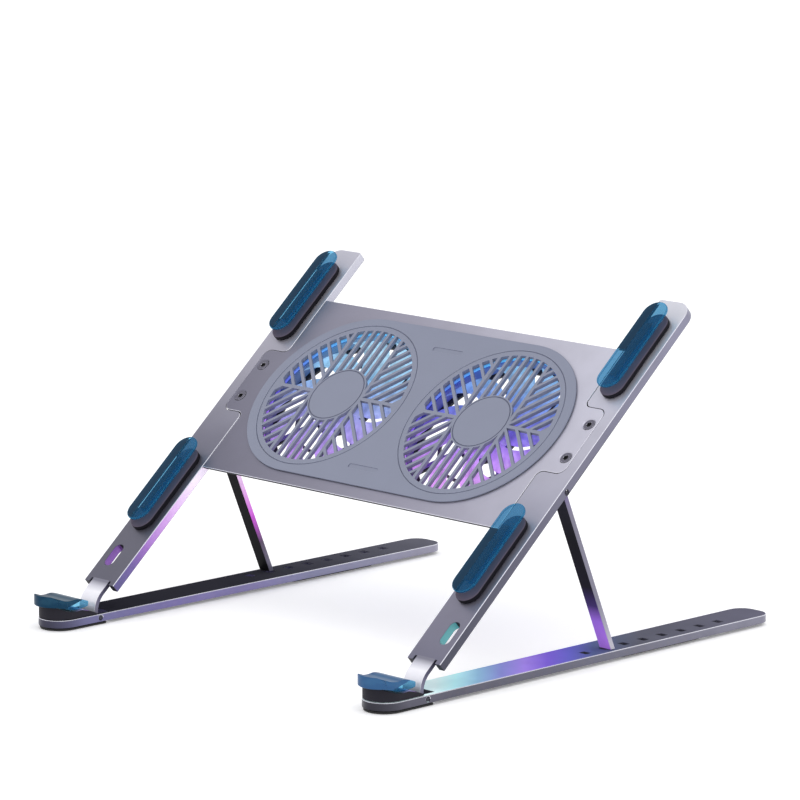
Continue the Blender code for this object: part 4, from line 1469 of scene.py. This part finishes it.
@dataclass
class GrillePanel:
    """The moulded panel over both fans, with slanted bars round a plain disc over each hub."""

    sizes: Sizes
    layout: Layout
    proud: float = 1.1
    under: float = -1.6
    plug_inset: float = 1.7
    post: tuple[float, float] = (2.6, -8.6)
    well: tuple[float, float] = (0.6, -0.8)
    groove: tuple[float, float] = (44.1, 44.7)
    groove_depth: float = 0.35
    disc_groove: tuple[float, float] = (15.1, 15.45)
    disc_depth: float = 0.25
    mark_x: tuple[float, float] = (-10.5, 9.5)
    mark_y: tuple[float, float] = (94.0, 169.0)
    mark_half: float = 1.3
    columns: int = 6
    least_area: float = 2.5
    opening: float = 41.5
    disc: float = 16.3
    rib: float = 1.8
    bar: float = 1.5
    pitch: float = 5.4

    def openings(self, sign: int) -> list[Outline]:
        """One fan's slots: six up the hub band, and four sectors of slanted ones.

        Args:
            sign: -1 for the left fan and 1 for the right one.

        Returns:
            The outline of each slot.
        """
        ring = circle(0, 0, self.opening, 144)
        found: list[Outline] = []
        last = self.columns - 1
        width = (2 * self.disc - self.rib) / self.columns
        for i in range(self.columns):
            u0 = -self.disc + self.rib / 2 + i * width + (self.bar / 2 if i else 0)
            u1 = -self.disc + self.rib / 2 + (i + 1) * width - (self.bar / 2 if i < last else 0)
            steps = [u0 + (u1 - u0) * k / 6 for k in range(7)]
            outer = [(u, math.sqrt(self.opening**2 - u**2)) for u in steps]
            inner = [(u, math.sqrt(self.disc**2 - u**2)) for u in reversed(steps)]
            found += [outer + inner, [(u, -v) for u, v in outer + inner]]
        for du, dv in ((1, 1), (-1, 1), (-1, -1), (1, -1)):
            sector = clipped(ring, du, 0, self.disc + self.rib / 2)
            sector = clipped(sector, 0, dv, self.rib / 2)
            nu, nv = -dv * math.sqrt(0.5), du * math.sqrt(0.5)
            for k in range(-6, 7):
                middle, half = (k + 0.5) * self.pitch, (self.pitch - self.bar) / 2
                slot = clipped(sector, nu, nv, middle - half)
                slot = clipped(slot, -nu, -nv, -middle - half) if slot else slot
                if len(slot) > 2 and outline_area(slot) > self.least_area:
                    found.append(slot)
        shift_x = sign * self.sizes.fan_x
        return [[(u + shift_x, v + self.sizes.fan_s) for u, v in line] for line in found]

    def build(self) -> None:
        """The panel: rim, plug, posts, wells behind the bars, slots, ring grooves and two marks."""
        s, top = self.sizes, self.proud
        piece = Workpiece("grille_panel_moulding",
                          prism(wide_stadium(s.panel_end_x, s.fan_s, s.panel_radius, 60), GAP, top))
        piece.soften(0.35, 4)
        plug = wide_stadium(s.panel_end_x, s.fan_s, s.panel_radius - self.plug_inset, 60)
        piece.add(prism(plug, self.under, GAP + 0.2))
        post = box_outline(0, *self.post, self.under + 0.4)
        piece.add(joined(turned(post, 24, x, y) for x, y in s.cover_screws()))
        for sign in (-1, 1):
            x, (wider, roof) = sign * s.fan_x, self.well
            well = box_outline(0, self.opening + wider, -4, roof)
            groove = box_outline(*self.groove, top - self.groove_depth, top + 1)
            disc = box_outline(*self.disc_groove, top - self.disc_depth, top + 1)
            piece.cut(turned(well, 96, x, s.fan_s))
            piece.cut(turned(groove, 120, x, s.fan_s))
            piece.cut(turned(disc, 96, x, s.fan_s))
            piece.cut(*(prism(slot, -3, top + 1) for slot in self.openings(sign)))
        marks = [rounded_box(*self.mark_x, y - self.mark_half, y + self.mark_half, 1.2, 6)
                 for y in self.mark_y]
        piece.cut(*(prism(mark, top - self.groove_depth, top + 1) for mark in marks))
        piece.cut(*(prism(circle(x, y, 0.8, 16), -12, -3.5) for x, y in s.cover_screws()))
        obj = piece.soften(0.14, 2, 50, edge=1).done()

        def rule(centre: Vector, normal: Vector, edge: bool) -> int:
            """Light rounded edges as painted highlight, painted shade in the ring and disc grooves and on the
            marks' walls, the rest plain.

            Args:
                centre: The face's centre in mm.
                normal: Which way it looks.
                edge: Whether it is an edge face.

            Returns:
                The finish's number.
            """
            radius = math.hypot(abs(centre.x) - s.fan_x, centre.y - s.fan_s)
            sunk = top - 0.5 < centre.z < top - 0.2 and normal.z > 0.9
            groove = abs(radius - 44.4) < 1.0
            disc = centre.z > top - 0.3 and abs(radius - 15.28) < 0.36
            beside_mark = abs(centre.x) < 12 and abs(abs(centre.y - 131.5) - 37.5) < 2
            mark = beside_mark and abs(normal.z) < 0.6
            if sunk and groove or mark and centre.z > 0.5 or disc:
                return 2
            return 1 if edge and centre.z > 0 else 0

        paint(obj, (GRILLE_ABS, GRILLE_EDGE_HIGHLIGHT, GRILLE_GROOVE_SHADE), rule)
        settle(obj, self.layout.platform, "platform", "grille_plastic", "grille_panel")


# ---------------------------------------------------------------- fan units


@dataclass
class FanUnit:
    """One fan: its frame with four arms, its winding, its light ring and its nine-bladed rotor."""

    side: Side
    sizes: Sizes
    layout: Layout
    rotor_radius: float = 40.4
    blades: int = 9
    root: float = 14.9
    ring: tuple[float, float] = (42.0, 44.6)
    ring_top: float = -3.7
    arm_z: tuple[float, float] = (-8.9, -8.0)
    arm_half: float = 1.1
    arm_reach: tuple[float, float] = (13, 43)
    seat: float = 15.2
    coil: tuple[float, float] = (2.2, 11.0)
    coil_z: tuple[float, float] = (-7.7, -5.6)
    light_z: tuple[float, float] = (-3.3, -2.1)
    bead_circle: float = 43.3

    @property
    def x(self) -> float:
        """The fan's axis across."""
        return self.side.value * self.sizes.fan_x

    def _settle(self, obj: bpy.types.Object, slot: str, node: str) -> None:
        """Puts a piece on the platform."""
        settle(obj, self.layout.platform, "platform", slot, f"{node}_{self.side.word}")

    def frame(self) -> None:
        """The moulded ring, the motor seat and the arms between them."""
        (low, high), (inner, outer) = self.arm_z, self.arm_reach
        y = self.sizes.fan_s
        ring = box_outline(*self.ring, low, self.ring_top)
        piece = Workpiece(f"fan_frame_{self.side.word}_moulding", turned(ring, 96, self.x, y))
        piece.add(prism(circle(self.x, y, self.seat, 64), low, high))
        for k in range(4):
            a = math.radians(45 + 90 * k)
            beside = Vector((-math.sin(a), math.cos(a))) * self.arm_half
            along = Vector((math.cos(a), math.sin(a)))
            near, far = Vector((self.x, y)) + along * inner, Vector((self.x, y)) + along * outer
            corners = [near + beside, near - beside, far - beside, far + beside]
            piece.add(prism([tuple(c) for c in corners], low + 0.1, high - 0.1))
        obj = piece.soften(0.2, 2).done()
        paint(obj, (fan_frame_finish(self.side),) * 2)
        self._settle(obj, "cover_plastic", "fan_frame")

    def motor(self) -> None:
        """The winding: a ring of wound coils round the bearing tube."""
        profile = box_outline(*self.coil, *self.coil_z)
        piece = Workpiece(f"fan_motor_{self.side.word}_winding",
                          turned(profile, 64, self.x, self.sizes.fan_s))
        gaps = []
        for k in range(4):
            a = math.radians(90 * k)
            centre = (self.x + 9.5 * math.cos(a), self.sizes.fan_s + 9.5 * math.sin(a))
            gaps.append(prism(circle(*centre, 1.6, 20), -9, -6.4))
        obj = piece.cut(*gaps).soften(0.4, 3).done()
        paint(obj, (COPPER,))
        self._settle(obj, "motor_copper", "fan_motor")

    def light(self) -> None:
        """The light ring, with a bead over each lamp."""
        profile = box_outline(42.2, 44.4, *self.light_z)
        y = self.sizes.fan_s
        piece = Workpiece(f"led_ring_{self.side.word}_moulding", turned(profile, 120, self.x, y))
        beads = [turned([(0, -2.3), (0.9, -2.3), (0.75, -1.98), (0.4, -1.9), (0, -1.9)], 16,
                        self.x + self.bead_circle * math.cos(a), y + self.bead_circle * math.sin(a))
                 for a in (math.radians(30 * k) for k in range(12))]
        obj = piece.add(joined(beads)).soften(0.15, 2, 60).done()
        paint(obj, (ring_finish(self.side),))
        self._settle(obj, "light_guide", "led_ring")

    def blade(self, index: int) -> bmesh.types.BMesh:
        """A swept blade of aerofoil section, from inside the hub to the tip.

        Args:
            index: Which of the blades it is, counted round the hub.

        Returns:
            The closed blade.
        """
        bm = bmesh.new()
        span, chord, thick = 12, 12, 0.8
        faces: tuple[list, list] = ([], [])
        for i in range(span):
            t = i / (span - 1)
            r = self.root + t * (self.rotor_radius - self.root)
            half = math.radians(15.0 - 1.5 * t)
            middle = 2 * math.pi * index / self.blades + math.radians(26.0) * t * t
            rise = 1.7 - 0.4 * t
            for j in range(chord):
                c = 2 * j / (chord - 1) - 1
                a = middle + half * c
                z = rise * c * (0.75 + 0.25 * abs(c))
                depth = thick / 2 * (0.35 + 0.65 * math.sqrt(1 - c * c))
                for rows, lift in zip(faces, (-depth, depth)):
                    rows.append(bm.verts.new(Vector((r * math.cos(a), r * math.sin(a), z + lift)) * MM))
        low, high = faces

        def quad(rows: list, i: int, j: int) -> list:
            """The four corners of one patch of the blade."""
            return [rows[i * chord + j], rows[(i + 1) * chord + j],
                    rows[(i + 1) * chord + j + 1], rows[i * chord + j + 1]]

        for i in range(span - 1):
            for j in range(chord - 1):
                bm.faces.new(quad(low, i, j))
                bm.faces.new(quad(high, i, j))
        rim = [(i, 0) for i in range(span)] + [(span - 1, j) for j in range(1, chord)]
        rim += [(i, chord - 1) for i in reversed(range(span - 1))]
        rim += [(0, j) for j in reversed(range(1, chord - 1))]
        spots = [i * chord + j for i, j in rim]
        for a, b in zip(spots, spots[1:] + spots[:1]):
            bm.faces.new([low[a], low[b], high[b], high[a]])
        bmesh.ops.recalc_face_normals(bm, faces=bm.faces)
        return bm

    def rotor(self) -> None:
        """The hub cup with its shaft, open below, and the blades."""
        hub = [(0, 2.5), (14.6, 2.5), (15.3, 2.2), (15.6, 1.7), (15.6, -1.9), (14.4, -1.9), (14.4, 1.3)]
        hub += [(1.7, 1.3), (1.7, -1.6), (0, -1.6)]
        piece = Workpiece(f"fan_rotor_{self.side.word}_moulding", turned(hub, 72))
        piece.add(joined(self.blade(i) for i in range(self.blades)))
        obj = piece.done()
        paint(obj, (blade_finish(self.side),))
        spindle = self.layout.platform @ Matrix.Translation(
            Vector((self.x, self.sizes.fan_s, self.sizes.spindle_h)) * MM)
        settle(obj, spindle, f"rotor_{self.side.word}", "blade_plastic", f"fan_rotor_{self.side.word}")

    def build(self) -> None:
        """The whole fan."""
        self.frame()
        self.motor()
        self.light()
        self.rotor()


# ---------------------------------------------------------------- rear cover


@dataclass
class RearCover:
    """The shallow tray behind the fans, its screws, the control board and the power socket."""

    sizes: Sizes
    layout: Layout
    radius: float = 48.0
    wall: float = 1.4
    top: float = -1.8
    floor: float = -9.3
    bottom: float = -10.6
    vents: tuple[tuple[float, float], ...] = ((17.0, 27.5), (29.0, 39.5))
    spoke_half: float = 1.2
    board_y: tuple[float, float] = (165.0, 175.8)
    board_z: tuple[float, float] = (-8.9, -7.8)

    def _settle(self, obj: bpy.types.Object, slot: str, node: str) -> None:
        """Puts a piece on the platform."""
        settle(obj, self.layout.platform, "platform", slot, node)

    def tray(self) -> None:
        """The tray with a guard of two slotted rings below each fan."""
        s = self.sizes
        piece = Workpiece("rear_cover_moulding",
                          prism(wide_stadium(s.panel_end_x, s.fan_s, self.radius, 60), self.bottom, self.top))
        piece.soften(0.8, 4)
        piece.cut(prism(wide_stadium(s.panel_end_x, s.fan_s, self.radius - self.wall, 60),
                        self.floor, self.top + 5))
        low, high = self.bottom - 1, self.floor + 1
        slots = []
        for x in (-s.fan_x, s.fan_x):
            for r0, r1 in self.vents:
                half0, half1 = (math.degrees(math.asin(self.spoke_half / r)) for r in (r0, r1))
                for start in range(45, 405, 90):
                    line = arc(x, s.fan_s, r1, start + half1, start + 90 - half1, 24)
                    line += arc(x, s.fan_s, r0, start + 90 - half0, start + half0, 18)
                    slots.append(prism(line, low, high))
        piece.cut(*slots)
        piece.cut(*(prism(circle(x, y, 1.3, 20), low, high) for x, y in s.cover_screws()))
        mouth = rounded_box(-5.0, 5.0, -8.4, -4.4, 1.8, 8)
        rear = s.fan_s + self.radius
        piece.cut(prism(mouth, rear - 8, rear + 12, Plane.XZ))
        obj = piece.soften(0.25, 2, 50).done()
        paint(obj, (COVER_ABS,))
        self._settle(obj, "cover_plastic", "rear_cover")

    def screws(self) -> None:
        """Four slotted pan-head screws."""
        profile = [(0, -12.1), (1.7, -12.1), (2.15, -11.9), (2.3, -11.6), (2.3, -10.9),
                   (1.0, -10.9), (1.0, -9.0), (0, -9.0)]
        for i, (x, y) in enumerate(self.sizes.cover_screws(), 1):
            piece = Workpiece(f"cover_screw_{i}_turned", turned(profile, 40, x, y))
            piece.cut(prism(box_outline(x - 1.5, x + 1.5, y - 0.3, y + 0.3), -13, -11.6))
            obj = piece.soften(0.06, 2, 50).done()
            paint(obj, (SCREW_NICKEL,))
            self._settle(obj, "screw_steel", f"cover_screw_{i}")

    def board(self) -> None:
        """The control board and the parts soldered to it."""
        piece = Workpiece("control_board_populated",
                          prism(box_outline(-16.0, 16.0, *self.board_y), *self.board_z))
        parts = [
            box_outline(-12, -7, 167, 172),
            box_outline(7, 10, 167, 170),
            box_outline(11, 14, 171, 174),
            box_outline(-3, -1, 166.5, 170.5),
            box_outline(1, 4.5, 167, 169.5),
        ]
        for i, line in enumerate(parts):
            piece.add(prism(line, -8.2, -6.9 + 0.2 * (i % 3)))
        obj = piece.soften(0.1, 1, 60).done()
        paint(obj, (LAMINATE, COVER_ABS), lambda centre, normal, edge: 1 if centre.z > -7.7 else 0)
        self._settle(obj, "board_laminate", "control_board")

    def socket(self) -> None:
        """The socket's drawn steel shell with its tongue, and its mouth in the rear wall."""
        piece = Workpiece("power_socket_shell",
                          prism(rounded_box(-4.5, 4.5, -7.4, -4.9, 1.2, 10), 172.4, 180.0, Plane.XZ))
        piece.cut(prism(rounded_box(-4.1, 4.1, -7.1, -5.2, 0.9, 10), 174.6, 182.0, Plane.XZ))
        piece.add(prism(rounded_box(-3.2, 3.2, -6.45, -5.85, 0.25, 4), 174.0, 179.0, Plane.XZ))
        obj = piece.soften(0.06, 2, 50).done()
        paint(obj, (PIN_STEEL, COVER_ABS),
              lambda centre, normal, edge: 1 if abs(centre.z + 6.15) < 0.35 and abs(centre.x) < 3.3 else 0)
        self._settle(obj, "pin_steel", "power_socket")

    def build(self) -> None:
        """The cover and all it holds."""
        self.tray()
        self.screws()
        self.board()
        self.socket()


# ---------------------------------------------------------------- studio


@dataclass
class Studio:
    """A pale floor, soft light from all round, and the camera."""

    spot: tuple[float, float, float] = (1.56537, -1.52342, 0.51208)
    pitch: float = 79.574
    heading: float = 45.776
    lens: float = 209.97
    sensor: float = 36.0

    def camera(self) -> None:
        """The camera, without shift or depth of field."""
        data = bpy.data.cameras.new("camera")
        data.sensor_width = self.sensor
        data.lens = self.lens
        data.clip_end = 100.0
        camera = bpy.data.objects.new("camera", data)
        camera.location = self.spot
        camera.rotation_euler = (math.radians(self.pitch), 0.0, math.radians(self.heading))
        bpy.context.scene.collection.objects.link(camera)
        bpy.context.scene.camera = camera

    def lamp(self, name: str, spot: tuple[float, float, float], size: float, power: float,
             colour: str) -> None:
        """A square soft box that looks at the stand.

        Args:
            name: Its name.
            spot: Where it stands, in metres.
            size: Its side, in metres.
            power: Its power in watts.
            colour: Its colour, as #rrggbb.
        """
        data = bpy.data.lights.new(name, "AREA")
        data.size = size
        data.energy = power
        data.color = linear(colour)[:3]
        lamp = bpy.data.objects.new(name, data)
        lamp.location = spot
        lamp.rotation_euler = (Vector(spot) - Vector((0, 0, 0.08))).to_track_quat("Z", "Y").to_euler()
        bpy.context.scene.collection.objects.link(lamp)

    def floor(self) -> None:
        """A wide white sheet just below the feet."""
        bm = bmesh.new()
        corners = [Vector((x, y, -0.0002)) for x, y in box_outline(-6, 6, -6, 6)]
        bm.faces.new([bm.verts.new(c) for c in corners])
        floor = linked("floor", bm)
        # Uncoated white paper: flat, bright and without gloss.
        paper = Finish("white_paper", "#fbfbfc", 0.9, grain=2.0, relief=0.01, unevenness=0.0,
                       glow=0.2, shine=0.0)
        floor.data.materials.append(paper.make())

    def build(self) -> None:
        """Camera, floor, lamps and the light of the room."""
        self.camera()
        self.floor()
        self.lamp("key", (0.9, -0.3, 1.3), 0.9, 3.0, "#ffffff")
        self.lamp("fill", (-1.2, -0.8, 1.0), 1.2, 1.5, "#f4f2ff")
        self.lamp("rear", (0.2, 1.3, 0.9), 1.0, 1.5, "#ffffff")
        world = bpy.data.worlds.new("room")
        world.use_nodes = True
        back = world.node_tree.nodes["Background"]
        back.inputs["Color"].default_value = linear("#ffffff")
        back.inputs["Strength"].default_value = 1.0
        bpy.context.scene.world = world


def main() -> None:
    """Builds the stand round its frame."""
    logging.basicConfig(level=logging.INFO, format="%(message)s")
    for old in list(bpy.data.objects):
        bpy.data.objects.remove(old)
    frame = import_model()
    sizes = Sizes()
    layout = read_layout(frame["joints"], sizes)
    Studio().build()
    for side in Side:
        BaseBar(side, sizes, layout).build()
        Rail(side, sizes, layout).build()
        Strut(side, sizes, layout).build()
        FanUnit(side, sizes, layout).build()
    CrossPlate(sizes, layout).build()
    GrillePanel(sizes, layout).build()
    RearCover(sizes, layout).build()
    bpy.context.scene.view_settings.view_transform = "Standard"


if __name__ == "__main__":
    main()
